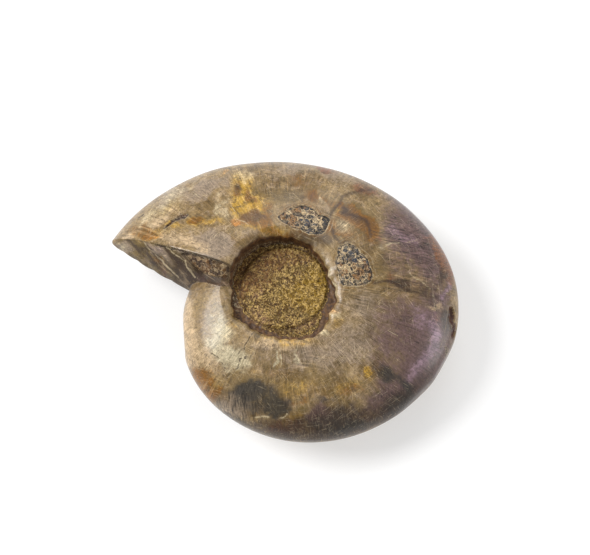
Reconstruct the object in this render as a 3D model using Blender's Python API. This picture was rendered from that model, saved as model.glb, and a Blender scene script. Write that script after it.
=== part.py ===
"""Polished ammonite fossil, lying on one flank.

The coil is modelled in a frame of its own. The coiling axis is Z, the whorl winds in the XY plane, and
growth runs anticlockwise seen from above, for one turn, from the whorl that the lip wraps to the lip.
The finished solids are then laid down on the flank that carries them, centred over the origin.

Run it with: blender --background --python part.py
"""

import math

import bmesh
import bpy
import numpy as np
from mathutils import Matrix, Vector

MM = 0.001

# --- Driving dimensions, in metres and degrees ---

# The coil
LIP_ANGLE = 158.0  # where the lip stands round the axis, from +X
VENTER_STEP = 30.0  # growth between two of the radii below
VENTER_RADII = tuple(
    mm * MM for mm in (25.0, 28.6, 32.8, 36.7, 40.8, 44.7, 49.0, 49.1, 45.6, 42.8, 43.3, 47.2, 52.6)
)
HALF_THICKNESS_START = 11.6 * MM  # of the whorl under the lip
HALF_THICKNESS_LIP = 17.0 * MM
HALF_THICKNESS_LIP_UNDER = 14.8 * MM  # the lower flank is a little flatter
CREST_RADIUS = 17.4 * MM  # where the whorl is thickest
SHOULDER_LENGTH = 3.4 * MM  # from the crest in to the umbilicus edge
VENTER_POWER = 1.1  # the flank thins as (1 - share ** VENTER_POWER) ** VENTER_FULLNESS
VENTER_FULLNESS = 0.45
KEEL_SHIFT = 3.2 * MM  # how far the venter has bent towards the lower flank, at the lip
KEEL_BENDS = 90.0  # over this much growth
UNEVENNESS = 0.13 * MM
UNEVEN_ABOVE = 4.0 * MM  # from the middle plane; less below it, so that the keel stays even

# Flats that polishing left on the venter: growth, direction round the axis and distance from it
VENTER_FLATS = ((172.0, 331.8, 48.0 * MM), (157.0, 314.4, 45.9 * MM), (27.0, 184.0, 28.5 * MM))
FLAT_REACH = 28.0  # in growth, either way

# The umbilicus, a hollow in each flank: radius of its edge and width of its ledge, every 15 degrees
OUTLINE_STEP = 15.0
EDGE_RADII = tuple(
    mm * MM
    for mm in (14.4, 13.1, 13.5, 13.8, 14.6, 14.6, 14.5, 14.7, 15.1, 15.0, 15.0, 14.8)
    + (13.8, 14.7, 15.3, 14.1, 14.0, 14.0, 14.4, 15.0, 16.4, 16.2, 14.8, 15.3)
)
LEDGE_WIDTHS = tuple(
    mm * MM
    for mm in (1.7, 0.5, 0.4, 0.5, 0.5, 0.5, 0.5, 0.5, 0.5, 0.5, 0.5, 0.5)
    + (0.6, 2.2, 3.0, 2.2, 1.9, 1.8, 1.3, 1.0, 1.3, 1.9, 2.5, 2.7)
)
UNDERSIDE_TURN = 130.0  # the lower umbilicus has the same outline, turned
RAGGED = 0.14 * MM
EDGE_BATTER = 0.3 * MM  # the wall comes in this much from the edge down to the ledge
EDGE_DROP_SHARE = 0.11  # from the crest down to the edge, as a share of the half thickness
LEDGE_DROP = 0.5 * MM  # from the crust down to the ledge
CRUST_LEVEL = 11.1 * MM  # at the axis
CRUST_SLOPE = 0.085  # rise towards +X
INNER_CAKE_MIDDLE = (0.3 * MM, 0.9 * MM)
INNER_CAKE_RADIUS = 12.2 * MM
INNER_CAKE_STEP = 0.5 * MM
INNER_CAKE_RAMP = 0.8 * MM
CRUST_GRAIN_SPREAD = 0.25 * MM  # how far a grain stands off its even place, and off its even height
CRUST_GRAIN_RISE = 0.32 * MM
HOLLOW_FLOOR = 7.5 * MM
GAP = 0.3 * MM  # between a crust and the hollow that it fills

# The lip and the stone face behind it, which runs forward to meet the whorl that it wraps
FACE_ADVANCE_VENTER = 12.0  # of growth
FACE_ADVANCE_CREST = 19.0
LIP_LAG = 6.5  # of growth, by which the lip of the lower flank stands back at its crest
FACE_RECESS = 0.8 * MM
FACE_RECESS_UNDER = 2.8 * MM  # on the lower flank, at the crest
FACE_BAND_SPACING = 3.6 * MM  # curved bands, as ridges across the face
FACE_BAND_LEAN = 0.52
FACE_BAND_HEIGHT = 0.3 * MM
FACE_RIM = 0.04  # share of the way across the face that stays level with the lip
FACE_ROUNDING = 0.7  # the lower, the steeper the face falls in from its rims

# Crystals in small windows through the upper flank: outlines of points (x, y) in mm
POCKET_DEPTH = 1.8 * MM
POCKET_PROUD = 0.1 * MM
POCKET_GRAIN_SPREAD = 0.2 * MM
POCKET_GRAIN_RISE = 0.3 * MM
PIT_SPARE = 0.1 * MM  # a pit is wider than its outline by this, and its crystals narrower by the gap
PIT_ABOVE = 3.0 * MM  # how far a pit's cutter stands clear of the surface
POCKETS = {
    "crystal_pocket_outer": (
        ((-1.8, 20.2), (0.8, 22.3), (3.4, 24.1), (5.8, 24.6), (8.0, 24.0), (10.1, 21.9))
        + ((13.2, 20.7), (12.7, 18.3), (11.2, 15.7), (9.0, 15.3), (5.0, 16.5), (1.2, 18.0))
    ),
    "crystal_pocket_inner": (
        ((15.2, 9.3), (15.5, 11.9), (17.9, 13.3), (19.8, 12.7), (21.6, 10.5), (24.3, 6.2))
        + ((25.0, 4.2), (24.6, 2.4), (22.6, 0.9), (19.6, 0.3), (16.6, 0.3), (15.3, 4.2))
    ),
}

# Crystals in a hollow of the face, near the umbilicus. Its middle and half size are given along the lip
# from its crest, and as a share of the way across the face
LIP_POCKET_MIDDLE = (6.9 * MM, 0.52)
LIP_POCKET_HALF = (8.9 * MM, 0.4)
LIP_POCKET_SQUARENESS = 5.0
LIP_POCKET_RECESS = 0.9 * MM  # from the face back to the crystals
LIP_POCKET_DEPTH = 2.4 * MM
LIP_POCKET_ABOVE = 1.4 * MM  # how far the pit's cutter stands clear of the face
LIP_CRUST_SCALE = 0.88
LIP_GRAIN_RISE = 0.35 * MM

# Chips and cracks, as gouges in the upper flank or the venter: middle (x, y) and half sizes in mm, turn
CHIPS = (
    ("crack_wide", (-28.8, 22.4), (2.0, 0.75, 0.8), 22.0),
    ("crack_thin", (-31.6, 20.6), (2.6, 0.4, 0.7), 40.0),
    ("notch_high", (47.3, -5.2), (2.8, 1.2, 1.3), 98.0),
    ("notch_low", (47.8, -9.3), (2.4, 1.0, 1.2), 84.0),
)

# Resting: the lean that lays the carrying flank on the floor, and how much of it is worn flat
LEAN_X = 1.39
LEAN_Y = 1.97
CENTRE = (-0.27 * MM, -1.26 * MM)
LIFT = 13.74 * MM

# --- Fineness ---
GROWTH_STEPS = 58
FLANK_STEPS = 12
SHOULDER_STEPS = 4
FACE_SHARES = (0.03, 0.05, 0.17, 0.3, 0.44, 0.58, 0.72, 0.86)
CRUST_CELLS = 20
POCKET_CELLS = 11
LIP_POCKET_CELLS = 10
CHIP_SUBDIVISIONS = 2
CHIP_UNEVENNESS = (0.8, 1.15)  # a corner's distance from a chip's middle, as shares of the half sizes
SHARP_ANGLE = 50.0
MERGE_DISTANCE = 0.001 * MM
SEED = 7

# Rows of a half section, from the axis to the venter: the kind of surface and the share of the way across it
ROWS = [("floor", 0.0), ("floor", 0.5), ("floor", 1.0), ("ledge", 0.0), ("ledge", 1.0)]
ROWS += [("shoulder", step / SHOULDER_STEPS) for step in range(SHOULDER_STEPS + 1)]
ROWS += [("flank", 1 - (1 - step / FLANK_STEPS) ** 2) for step in range(1, FLANK_STEPS + 1)]


def turned(angle, distance):
    """A point at this distance from the axis, in degrees round it."""
    return distance * np.cos(np.radians(angle)), distance * np.sin(np.radians(angle))


def smooth(value):
    """Eases 0 to 1."""
    value = np.clip(value, 0, 1)
    return value * value * (3 - 2 * value)


def through(values, place):
    """A smooth curve through evenly spaced values, at a place counted in steps."""
    values = np.array([2 * values[0] - values[1], *values, 2 * values[-1] - values[-2]])
    cell = np.clip(np.floor(place).astype(int), 0, len(values) - 4)
    f = place - cell
    before, start, end, after = (values[cell + k] for k in range(4))
    bend = 2 * before - 5 * start + 4 * end - after
    return start + 0.5 * f * (end - before + f * (bend + f * (3 * start - before - 3 * end + after)))


def venter_radius(growth):
    return through(VENTER_RADII, growth / VENTER_STEP)


def half_thickness(growth, side):
    """From the middle plane to the crest of the upper flank, side 1, or of the lower one, side -1."""
    at_lip = HALF_THICKNESS_LIP if side > 0 else HALF_THICKNESS_LIP_UNDER
    return HALF_THICKNESS_START * (at_lip / HALF_THICKNESS_START) ** (growth / 360)


def round_axis(values, angle, side):
    """One of the umbilicus outlines at an angle. side is 1 on the upper flank and -1 on the lower one."""
    angle = angle if side > 0 else angle + UNDERSIDE_TURN
    return np.interp(angle % 360, np.arange(len(values) + 1) * OUTLINE_STEP, [*values, values[0]])


def edge_radius(angle, side):
    turn = np.radians(angle)
    ragged = np.sin(19 * turn + 0.6) + np.sin(31 * turn + 2.0)
    return round_axis(EDGE_RADII, angle, side) + RAGGED * ragged


def crust_radius(angle, side):
    return edge_radius(angle, side) - round_axis(LEDGE_WIDTHS, angle, side)


def unevenness(x, y, side):
    """Slight waves that keep the polished flanks from being exact."""
    wave = np.sin(170 * x + 90 * y + 1.0) + np.sin(-120 * x + 210 * y + 2.5 * side) + np.sin(330 * x + 1.7)
    return UNEVENNESS * wave


def flank_height(growth, share, side):
    share = np.clip(share, 0, 1)
    return half_thickness(growth, side) * (1 - share**VENTER_POWER) ** VENTER_FULLNESS


def face_advance(kind, share):
    """How far past the lip, in growth, a row of the face meets the whorl that the lip wraps."""
    share = share if kind == "flank" else 0.0
    return FACE_ADVANCE_VENTER + (FACE_ADVANCE_CREST - FACE_ADVANCE_VENTER) * (1 - share) ** 2


def lip_growth(kind, share, side):
    """Growth at which a row ends in the lip: a full turn, or a little less on the lower flank."""
    share = share if kind == "flank" else 0.0
    return 360 if side > 0 else 360 - LIP_LAG * (1 - share)


def keel_shift(growth, share):
    return KEEL_SHIFT * share**2 * smooth((growth - 360 + KEEL_BENDS) / KEEL_BENDS)


def shape(kind, share, growth, angle, side):
    """Radius and height of one row of the section, for a whorl of this growth at an angle round the axis."""
    half = half_thickness(growth, side)
    edge = edge_radius(angle, side)
    crust = crust_radius(angle, side)
    if kind == "floor":
        return crust * share, HOLLOW_FLOOR + 0 * angle
    if kind == "ledge":
        radius = crust + share * (edge - EDGE_BATTER - crust)
        return radius, CRUST_LEVEL + CRUST_SLOPE * turned(angle, radius)[0] - LEDGE_DROP
    if kind == "shoulder":
        quarter = math.pi / 2 * share
        radius = CREST_RADIUS - (CREST_RADIUS - edge) * math.cos(quarter)
        return radius, half * (1 - EDGE_DROP_SHARE * (1 - math.sin(quarter)))
    return CREST_RADIUS + share * (venter_radius(growth) - CREST_RADIUS), flank_height(growth, share, side)


def half_section(growth, angle, side):
    """Points of a half section. growth and angle have a row for each of ROWS and a column for each station."""
    points = []
    for (kind, share), row_growth, row_angle in zip(ROWS, growth, angle):
        radius, height = shape(kind, share, row_growth, row_angle, side)
        x, y = turned(row_angle, radius)
        if kind in ("shoulder", "flank"):
            height = height + unevenness(x, y, side) * smooth(height / UNEVEN_ABOVE)
        shift = keel_shift(row_growth, share) if kind == "flank" else 0.0
        points.append(np.stack([x, y, side * height - shift], axis=-1))
    return np.array(points)


def whole_section(upper, lower):
    """The rows of the upper half section, then those of the lower one from the venter back to the axis."""
    return np.concatenate([upper, lower[-2::-1]])


def ground(section, growth):
    """Grinds the venter down to its flats."""
    for middle, direction, distance in VENTER_FLATS:
        normal = np.array([*turned(direction, 1.0), 0.0])
        near = np.abs(growth - middle) < FLAT_REACH
        beyond = np.clip(section @ normal - distance, 0, None) * near
        section = section - beyond[..., None] * normal
    return section


def outer_columns(stations):
    """Whole sections at these shares of the turn, from the upper pole round the venter to the lower one."""
    start = np.array([[face_advance(kind, share)] for kind, share in ROWS])
    halves = []
    for side in (1, -1):
        end = np.array([[lip_growth(kind, share, side)] for kind, share in ROWS])
        growth = start + (end - start) * stations
        halves.append(ground(half_section(growth, LIP_ANGLE + growth, side), growth))
    return whole_section(*halves)


def lip_row(along):
    """The kind of row and the share of it at a distance along the lip from its crest, outward if positive."""
    if along >= 0:
        return "flank", along / (VENTER_RADII[-1] - CREST_RADIUS)
    return "shoulder", 1 + along / SHOULDER_LENGTH


def face_point(kind, share, across, back, side):
    """A point of the stone face. across runs from the lip, 0, to the inner whorl, 1; back is into the stone."""
    lip = lip_growth(kind, share, side)
    span = lip + (360 + face_advance(kind, share) - lip) * across
    venter = VENTER_RADII[-1] + across * (VENTER_RADII[0] - VENTER_RADII[-1])
    beyond_crest = share * (venter - CREST_RADIUS) if kind == "flank" else 0.0
    angle = LIP_ANGLE + span - np.degrees(back / (CREST_RADIUS + beyond_crest))
    outer_radius, outer_height = shape(kind, share, np.array(lip), angle, side)
    inner_radius, inner_height = shape(kind, share, span - 360, angle, side)
    radius = outer_radius + across * (inner_radius - outer_radius)
    height = outer_height + across * (inner_height - outer_height)
    shift = (1 - across) * keel_shift(lip, share) if kind == "flank" else 0.0
    x, y = turned(angle, radius)
    if kind in ("shoulder", "flank"):
        height = height + unevenness(x, y, side) * smooth(height / UNEVEN_ABOVE)
    return float(x), float(y), float(side * height - shift)


def face_depth(share, across, side):
    """How far the face lies behind the plain surface from the lip to the inner whorl."""
    rise = math.sin(math.pi * across) ** FACE_ROUNDING
    radius = CREST_RADIUS + share * (1 - across) * (VENTER_RADII[-1] - CREST_RADIUS)
    height = side * flank_height(360 - 360 * across, share, side)
    band = (radius - FACE_BAND_LEAN * height) / FACE_BAND_SPACING
    ridge = 1 - 2 * np.abs(np.sin(math.pi * band))
    under = FACE_RECESS_UNDER - FACE_RECESS if side < 0 else 0.0
    return rise * (FACE_RECESS + under * (1 - share**2) + FACE_BAND_HEIGHT * ridge * smooth(4 * share))


def face_column(across):
    """One column of the stone face, from pole to pole."""
    halves = []
    for side in (1, -1):
        half = []
        for kind, share in ROWS:
            flank_share = share if kind == "flank" else 0.0
            level = across < FACE_RIM or kind in ("floor", "ledge")
            deep = 0.0 if level else face_depth(flank_share, across, side)
            half.append(face_point(kind, share, across, deep, side))
        halves.append(half)
    return whole_section(*np.array(halves))


def solid(name, vertices, faces, material, angle=SHARP_ANGLE):
    """A closed mesh object, its faces pointing out."""
    mesh = bpy.data.meshes.new(name)
    mesh.from_pydata([tuple(v) for v in vertices], [], faces)
    form = bmesh.new()
    form.from_mesh(mesh)
    bmesh.ops.remove_doubles(form, verts=form.verts, dist=MERGE_DISTANCE)
    bmesh.ops.dissolve_degenerate(form, edges=form.edges, dist=MERGE_DISTANCE)
    bmesh.ops.recalc_face_normals(form, faces=form.faces)
    form.to_mesh(mesh)
    form.free()
    mesh.shade_smooth()
    mesh.set_sharp_from_angle(angle=math.radians(angle))
    mesh.materials.append(material)
    made = bpy.data.objects.new(name, mesh)
    bpy.context.scene.collection.objects.link(made)
    return made


def finish(name, colour, roughness):
    """A plain stone material."""
    material = bpy.data.materials.new(name)
    material.use_nodes = True
    surface = material.node_tree.nodes["Principled BSDF"]
    surface.inputs["Base Color"].default_value = (*colour, 1)
    surface.inputs["Roughness"].default_value = roughness
    surface.inputs["Metallic"].default_value = 0.0
    return material


def build_shell(material):
    """The coiled fossil: one turn of whorl sections, closed at the lip by its stone face."""
    section = outer_columns(np.linspace(0, 1, GROWTH_STEPS + 1))
    columns = [section[:, place] for place in range(section.shape[1])]
    columns += [face_column(across) for across in FACE_SHARES]
    count = len(columns[0])
    vertices = np.concatenate(columns)
    quads = []
    for place in range(len(columns)):
        here, there = place * count, (place + 1) % len(columns) * count
        quads += [(here + row, here + row + 1, there + row + 1, there + row) for row in range(count - 1)]
    return solid("ammonite", vertices, quads, material)


def disc_grid(cells):
    """Points of a square grid spread over a unit disc: angle in degrees, and share of the way out."""
    line = np.linspace(-1, 1, cells + 1)
    u, v = (part.ravel() for part in np.meshgrid(line, line))
    wide = np.abs(u) >= np.abs(v)
    share = np.where(wide, u, v)
    safe = np.where(share == 0, 1, share)
    angle = np.where(wide, 45 * v / safe, 90 - 45 * u / safe)
    return np.where(share < 0, angle + 180, angle), np.abs(share)


def disc_faces(cells, flat_base):
    """Faces of a closed disc: the grid on top, its border down to the base, and the base."""
    wide = cells + 1
    corners = [row * wide + column for row in range(cells) for column in range(cells)]
    top = [(corner, corner + 1, corner + wide + 1, corner + wide) for corner in corners]
    border = list(range(wide))
    border += [row * wide + cells for row in range(1, wide)]
    border += [cells * wide + column for column in range(cells - 1, -1, -1)]
    border += [row * wide for row in range(cells - 1, 0, -1)]
    under = wide * wide
    skirt = [(a, b, under + b, under + a) for a, b in zip(border, border[1:] + border[:1])]
    if flat_base:
        return top + skirt + [tuple(under + corner for corner in border)]
    return top + skirt + [tuple(under + corner for corner in quad) for quad in top]


def grains(count, inner, seed):
    """Uneven heights of crystal grains, from -1 to 1."""
    return np.random.default_rng(seed).uniform(-1, 1, count) * inner


def umbilicus_crust(name, side, material):
    """The crust that fills the umbilicus: an inner raised cake of grains inside a lower rim."""
    angle, share = disc_grid(CRUST_CELLS)
    x, y = turned(angle, share * (crust_radius(angle, side) - GAP))
    inner = share < 0.99
    x = x + CRUST_GRAIN_SPREAD * grains(len(x), inner, SEED + side)
    y = y + CRUST_GRAIN_SPREAD * grains(len(x), inner, SEED + 3 + side)
    reach = INNER_CAKE_RADIUS - np.hypot(x - INNER_CAKE_MIDDLE[0], y - INNER_CAKE_MIDDLE[1])
    step = INNER_CAKE_STEP * (smooth(reach / INNER_CAKE_RAMP) - 1)
    rise = CRUST_GRAIN_RISE * grains(len(x), 1.0, SEED + 6 + side)
    top = CRUST_LEVEL + CRUST_SLOPE * x + step + rise
    upper = np.stack([x, y, side * top], axis=1)
    lower = np.stack([x, y, 0 * x + side * (HOLLOW_FLOOR + GAP)], axis=1)
    return solid(name, np.concatenate([upper, lower]), disc_faces(CRUST_CELLS, True), material, 0)


def surface_height(x, y):
    """Height of the polished upper flank over a point."""
    radius, angle = np.hypot(x, y), np.degrees(np.arctan2(y, x))
    growth = (angle - LIP_ANGLE) % 360
    share = (radius - CREST_RADIUS) / (venter_radius(growth) - CREST_RADIUS)
    edge = edge_radius(angle, 1)
    inward = np.clip((CREST_RADIUS - radius) / (CREST_RADIUS - edge), 0, 1)
    drop = EDGE_DROP_SHARE * half_thickness(growth, 1) * (1 - np.sqrt(1 - inward**2))
    bent = keel_shift(growth, np.clip(share, 0, 1))
    return flank_height(growth, share, 1) - drop - bent + unevenness(x, y, 1)


def pocket(name, outline, spare, rise, depth, cells, material, seed=None):
    """A prism through the flank that follows its surface, from rise above it to depth below it."""
    points = np.array(outline) * MM
    middle = points.mean(axis=0)
    out = points - middle
    turn = np.degrees(np.arctan2(out[:, 1], out[:, 0])) % 360
    order = np.argsort(turn)
    angle, share = disc_grid(cells)
    reach = np.interp(angle % 360, turn[order], np.hypot(*out.T)[order], period=360) + spare
    x, y = turned(angle, share * reach)
    x, y = x + middle[0], y + middle[1]
    height = surface_height(x, y)
    border = share > 0.99
    base = np.column_stack([x, y, np.ones_like(x)])
    plane = np.linalg.lstsq(base[border], height[border], rcond=None)[0]
    lower = np.stack([x, y, base @ plane - depth], axis=1)
    top = height + rise
    if seed is not None:
        x = x + POCKET_GRAIN_SPREAD * grains(len(x), ~border, seed)
        top = top + POCKET_GRAIN_RISE * grains(len(x), 1.0, seed + 1)
    upper = np.stack([x, y, top], axis=1)
    sharp = SHARP_ANGLE if seed is None else 0
    return solid(name, np.concatenate([upper, lower]), disc_faces(cells, True), material, sharp)


def lip_pocket(name, scale, start, end, cells, material, seed=None):
    """A crust in the face near the umbilicus, between two depths behind the face."""
    angle, share = disc_grid(cells)
    u, v = turned(angle, share)
    power = LIP_POCKET_SQUARENESS
    unit = (np.abs(u) ** power + np.abs(v) ** power) ** (1 / power)
    round_off = scale * share / np.maximum(unit, 1e-9)
    points = []
    lumps = 0 * share if seed is None else LIP_GRAIN_RISE * grains(len(share), 1.0, seed)
    for depth, uneven in ((start, lumps), (end, 0 * lumps)):
        for along, across, lump in zip(u * round_off, v * round_off, uneven):
            along = LIP_POCKET_MIDDLE[0] + LIP_POCKET_HALF[0] * along
            across = LIP_POCKET_MIDDLE[1] + LIP_POCKET_HALF[1] * across
            kind, place = lip_row(along)
            points.append(face_point(kind, place, across, FACE_RECESS + depth + lump, 1))
    sharp = SHARP_ANGLE if seed is None else 0
    return solid(name, points, disc_faces(cells, False), material, sharp)


def gouge(name, middle, half_sizes, turn, material):
    """A flattened ball let into the surface."""
    x, y = (value * MM for value in middle)
    z = float(surface_height(np.array([x]), np.array([y]))[0])
    form = bmesh.new()
    bmesh.ops.create_icosphere(form, subdivisions=CHIP_SUBDIVISIONS, radius=1.0)
    random = np.random.default_rng(SEED + len(name))
    for corner in form.verts:
        corner.co *= random.uniform(*CHIP_UNEVENNESS)
    size = Matrix.Diagonal(Vector([value * MM for value in half_sizes])).to_4x4()
    form.transform(Matrix.Translation((x, y, z)) @ Matrix.Rotation(math.radians(turn), 4, "Z") @ size)
    mesh = bpy.data.meshes.new(name)
    form.to_mesh(mesh)
    form.free()
    mesh.materials.append(material)
    made = bpy.data.objects.new(name, mesh)
    bpy.context.scene.collection.objects.link(made)
    return made


def cut(target, cutter):
    """Takes the cutter away from the target."""
    modifier = target.modifiers.new(cutter.name, "BOOLEAN")
    modifier.operation = "DIFFERENCE"
    modifier.solver = "EXACT"
    modifier.object = cutter
    cutter.hide_render = True
    cutter.display_type = "WIRE"
    return cutter


def lay_down(objects):
    """Leans the coil frame until the carrying flank is level, stands it on the floor and centres it."""
    lean = Matrix.Rotation(math.radians(LEAN_Y), 4, "Y") @ Matrix.Rotation(math.radians(LEAN_X), 4, "X")
    place = Matrix.Translation((CENTRE[0], CENTRE[1], LIFT)) @ lean
    for item in objects:
        item.data.transform(place)
        for corner in item.data.vertices:  # the carrying flank is worn flat where it meets the floor
            corner.co.z = max(corner.co.z, 0.0)


def main():
    for item in list(bpy.data.objects):
        bpy.data.objects.remove(item)
    shell_stone = finish("polished_shell", (0.29, 0.22, 0.14), 0.3)
    crust_stone = finish("umbilicus_crystals", (0.25, 0.16, 0.06), 0.5)
    pocket_stone = finish("pocket_crystals", (0.24, 0.2, 0.16), 0.4)

    shell = build_shell(shell_stone)
    made = [shell]
    made.append(umbilicus_crust("umbilicus_crust", 1, crust_stone))
    made.append(umbilicus_crust("umbilicus_crust_underside", -1, crust_stone))
    for number, (name, outline) in enumerate(POCKETS.items()):
        deep = POCKET_DEPTH + GAP
        pit = pocket(name + "_pit", outline, PIT_SPARE, PIT_ABOVE, deep, POCKET_CELLS, shell_stone)
        made.append(cut(shell, pit))
        seed = SEED + 20 + 2 * number
        made.append(pocket(name, outline, -GAP, POCKET_PROUD, POCKET_DEPTH, POCKET_CELLS, pocket_stone, seed))
    name, cells = "crystal_pocket_lip", LIP_POCKET_CELLS
    pit = lip_pocket(name + "_pit", 1.0, -LIP_POCKET_ABOVE, LIP_POCKET_DEPTH + GAP, cells, shell_stone)
    made.append(cut(shell, pit))
    seed = SEED + 30
    span = (LIP_POCKET_RECESS, LIP_POCKET_DEPTH)
    made.append(lip_pocket(name, LIP_CRUST_SCALE, *span, cells, pocket_stone, seed))
    for name, middle, half_sizes, turn in CHIPS:
        made.append(cut(shell, gouge(name, middle, half_sizes, turn, shell_stone)))
    lay_down(made)


main()
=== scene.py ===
"""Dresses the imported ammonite: fine polished shell, crystal crusts, stage, light and camera."""

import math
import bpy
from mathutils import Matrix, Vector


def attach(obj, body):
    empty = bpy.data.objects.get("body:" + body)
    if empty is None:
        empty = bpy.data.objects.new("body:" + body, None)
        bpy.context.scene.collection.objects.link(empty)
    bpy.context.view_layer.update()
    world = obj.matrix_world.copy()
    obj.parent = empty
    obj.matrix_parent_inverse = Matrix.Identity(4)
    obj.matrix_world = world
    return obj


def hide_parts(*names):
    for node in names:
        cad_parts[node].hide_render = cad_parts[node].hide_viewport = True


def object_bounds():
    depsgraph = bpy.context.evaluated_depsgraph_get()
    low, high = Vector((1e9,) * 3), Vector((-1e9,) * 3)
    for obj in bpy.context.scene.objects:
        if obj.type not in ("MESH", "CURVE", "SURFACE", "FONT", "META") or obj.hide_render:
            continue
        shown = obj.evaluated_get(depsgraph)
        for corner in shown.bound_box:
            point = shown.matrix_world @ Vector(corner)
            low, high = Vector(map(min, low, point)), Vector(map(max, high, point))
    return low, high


bl_info = {
    "name": "Polished Ammonite",
    "version": (1, 0, 0),
    "blender": (4, 5, 0),
    "location": "View3D > Sidebar > Ammonite",
    "description": "Builds the polished shell, the crystals and the stage over the packed solids",
    "category": "Object",
}

import bpy
import numpy as np
from mathutils import Matrix, Vector

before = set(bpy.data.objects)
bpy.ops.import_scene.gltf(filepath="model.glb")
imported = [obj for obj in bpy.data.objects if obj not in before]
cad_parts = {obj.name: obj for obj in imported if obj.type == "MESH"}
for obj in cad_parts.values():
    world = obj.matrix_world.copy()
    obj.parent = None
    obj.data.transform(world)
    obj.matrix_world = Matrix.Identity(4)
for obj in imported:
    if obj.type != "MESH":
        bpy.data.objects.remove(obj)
CAD_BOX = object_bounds()

MM = 0.001

# --- The coil, in mm and degrees. Its axis is Z, and growth runs anticlockwise from the lip's angle ---
LIP_ANGLE = 158.0
VENTER_STEP = 30.0
VENTER_RADII = (25.0, 28.6, 32.8, 36.7, 40.8, 44.7, 49.0, 49.1, 45.6, 42.8, 43.3, 47.2, 52.6)
HALF_THICKNESS_START = 11.6
HALF_THICKNESS_LIP = 17.0
HALF_THICKNESS_LIP_UNDER = 14.8
CREST_RADIUS = 17.4
SHOULDER_LENGTH = 3.4
VENTER_POWER = 1.1
VENTER_FULLNESS = 0.45
KEEL_SHIFT = 3.2
KEEL_BENDS = 90.0
UNEVENNESS = 0.13
UNEVEN_ABOVE = 4.0
# Waves of the flanks: radians per mm along x and y, start, and shift from the middle for each flank
UNEVEN_WAVES = ((0.17, 0.09, 1.0, 0.0), (-0.12, 0.21, 0.0, 2.5), (0.33, 0.0, 1.7, 0.0))
# Flats that polishing left on the venter: growth at the middle, direction in degrees, distance from the axis
VENTER_FLATS = ((172.0, 331.8, 48.0), (157.0, 314.4, 45.9), (27.0, 184.0, 28.5))
FLAT_REACH = 28.0
FLAT_FADE = 6.0
FLAT_SOFTNESS = 0.5

# The umbilicus: radius of its edge and width of its ledge, every 15 degrees
OUTLINE_STEP = 15.0
EDGE_RADII = (14.4, 13.1, 13.5, 13.8, 14.6, 14.6, 14.5, 14.7, 15.1, 15.0, 15.0, 14.8)
EDGE_RADII += (13.8, 14.7, 15.3, 14.1, 14.0, 14.0, 14.4, 15.0, 16.4, 16.2, 14.8, 15.3)
LEDGE_WIDTHS = (1.7, 0.5, 0.4, 0.5, 0.5, 0.5, 0.5, 0.5, 0.5, 0.5, 0.5, 0.5)
LEDGE_WIDTHS += (0.6, 2.2, 3.0, 2.2, 1.9, 1.8, 1.3, 1.0, 1.3, 1.9, 2.5, 2.7)
UNDERSIDE_TURN = 130.0
RAGGED = 0.14
RAGGED_WAVES = ((19, 0.6), (31, 2.0))  # waves round the edge, and where each starts
EDGE_BATTER = 0.3
EDGE_DROP_SHARE = 0.11
LEDGE_DROP = 0.5
LEDGE_RELIEF = 0.3
WALL_DARK_ANGLE = 140.0  # the side on which the umbilicus wall is darkest and widest
WALL_DARK_FROM = 0.1
WALL_DARK_FADE = 0.8
WALL_NARROWING = 4.5  # how fast the dark wall colour ends on the shoulder, and how much slower on the dark side
WALL_SPREAD = 3.1
CRUST_LEVEL = 11.1
CRUST_SLOPE = 0.085
INNER_CAKE_MIDDLE = (0.3, 0.9)
INNER_CAKE_RADIUS = 12.2
INNER_CAKE_STEP = 0.5
INNER_CAKE_RAMP = 0.8
HOLLOW_FLOOR = 7.5
GAP = 0.3

# The stone face behind the lip
FACE_ADVANCE_VENTER = 12.0
FACE_ADVANCE_CREST = 19.0
LIP_LAG = 6.5
FACE_RECESS = 0.8
FACE_RECESS_UNDER = 2.8
# Bands of the face: from one to the next, how much they lean with height, and how high they stand
FACE_BAND_SPACING = 7.2
FACE_BAND_LEAN = 0.52
FACE_BAND_HEIGHT = 0.18
FACE_RIM = 0.04
FACE_ROUNDING = 0.7

# Windows of crystals: outlines of points (x, y)
POCKET_DEPTH = 1.8
POCKETS = {
    "crystal_pocket_outer": (
        ((-1.8, 20.2), (0.8, 22.3), (3.4, 24.1), (5.8, 24.6), (8.0, 24.0), (10.1, 21.9))
        + ((13.2, 20.7), (12.7, 18.3), (11.2, 15.7), (9.0, 15.3), (5.0, 16.5), (1.2, 18.0))
    ),
    "crystal_pocket_inner": (
        ((15.2, 9.3), (15.5, 11.9), (17.9, 13.3), (19.8, 12.7), (21.6, 10.5), (24.3, 6.2))
        + ((25.0, 4.2), (24.6, 2.4), (22.6, 0.9), (19.6, 0.3), (16.6, 0.3), (15.3, 4.2))
    ),
}
POCKET_SINK = 0.12  # how far the crystals lie below the polish
RIM_SNAP = 0.3  # corners of the shell this near to a window's outline are drawn onto it
# The hollow of the face: mm out from the crest, and share of the way from the lip to the inner whorl
LIP_POCKET_MIDDLE = (6.9, 0.52)
LIP_POCKET_HALF = (8.9, 0.4)
LIP_POCKET_SQUARENESS = 5.0
LIP_POCKET_RECESS = 0.9
LIP_POCKET_DEPTH = 2.4
LIP_POCKET_WALL = 0.08
LIP_POCKET_BORDER = 4.0  # mm from the middle to the rim, for the paint
WINDOW_WALL = 0.06  # share of the way in over which the crystals rise from the rim

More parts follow.
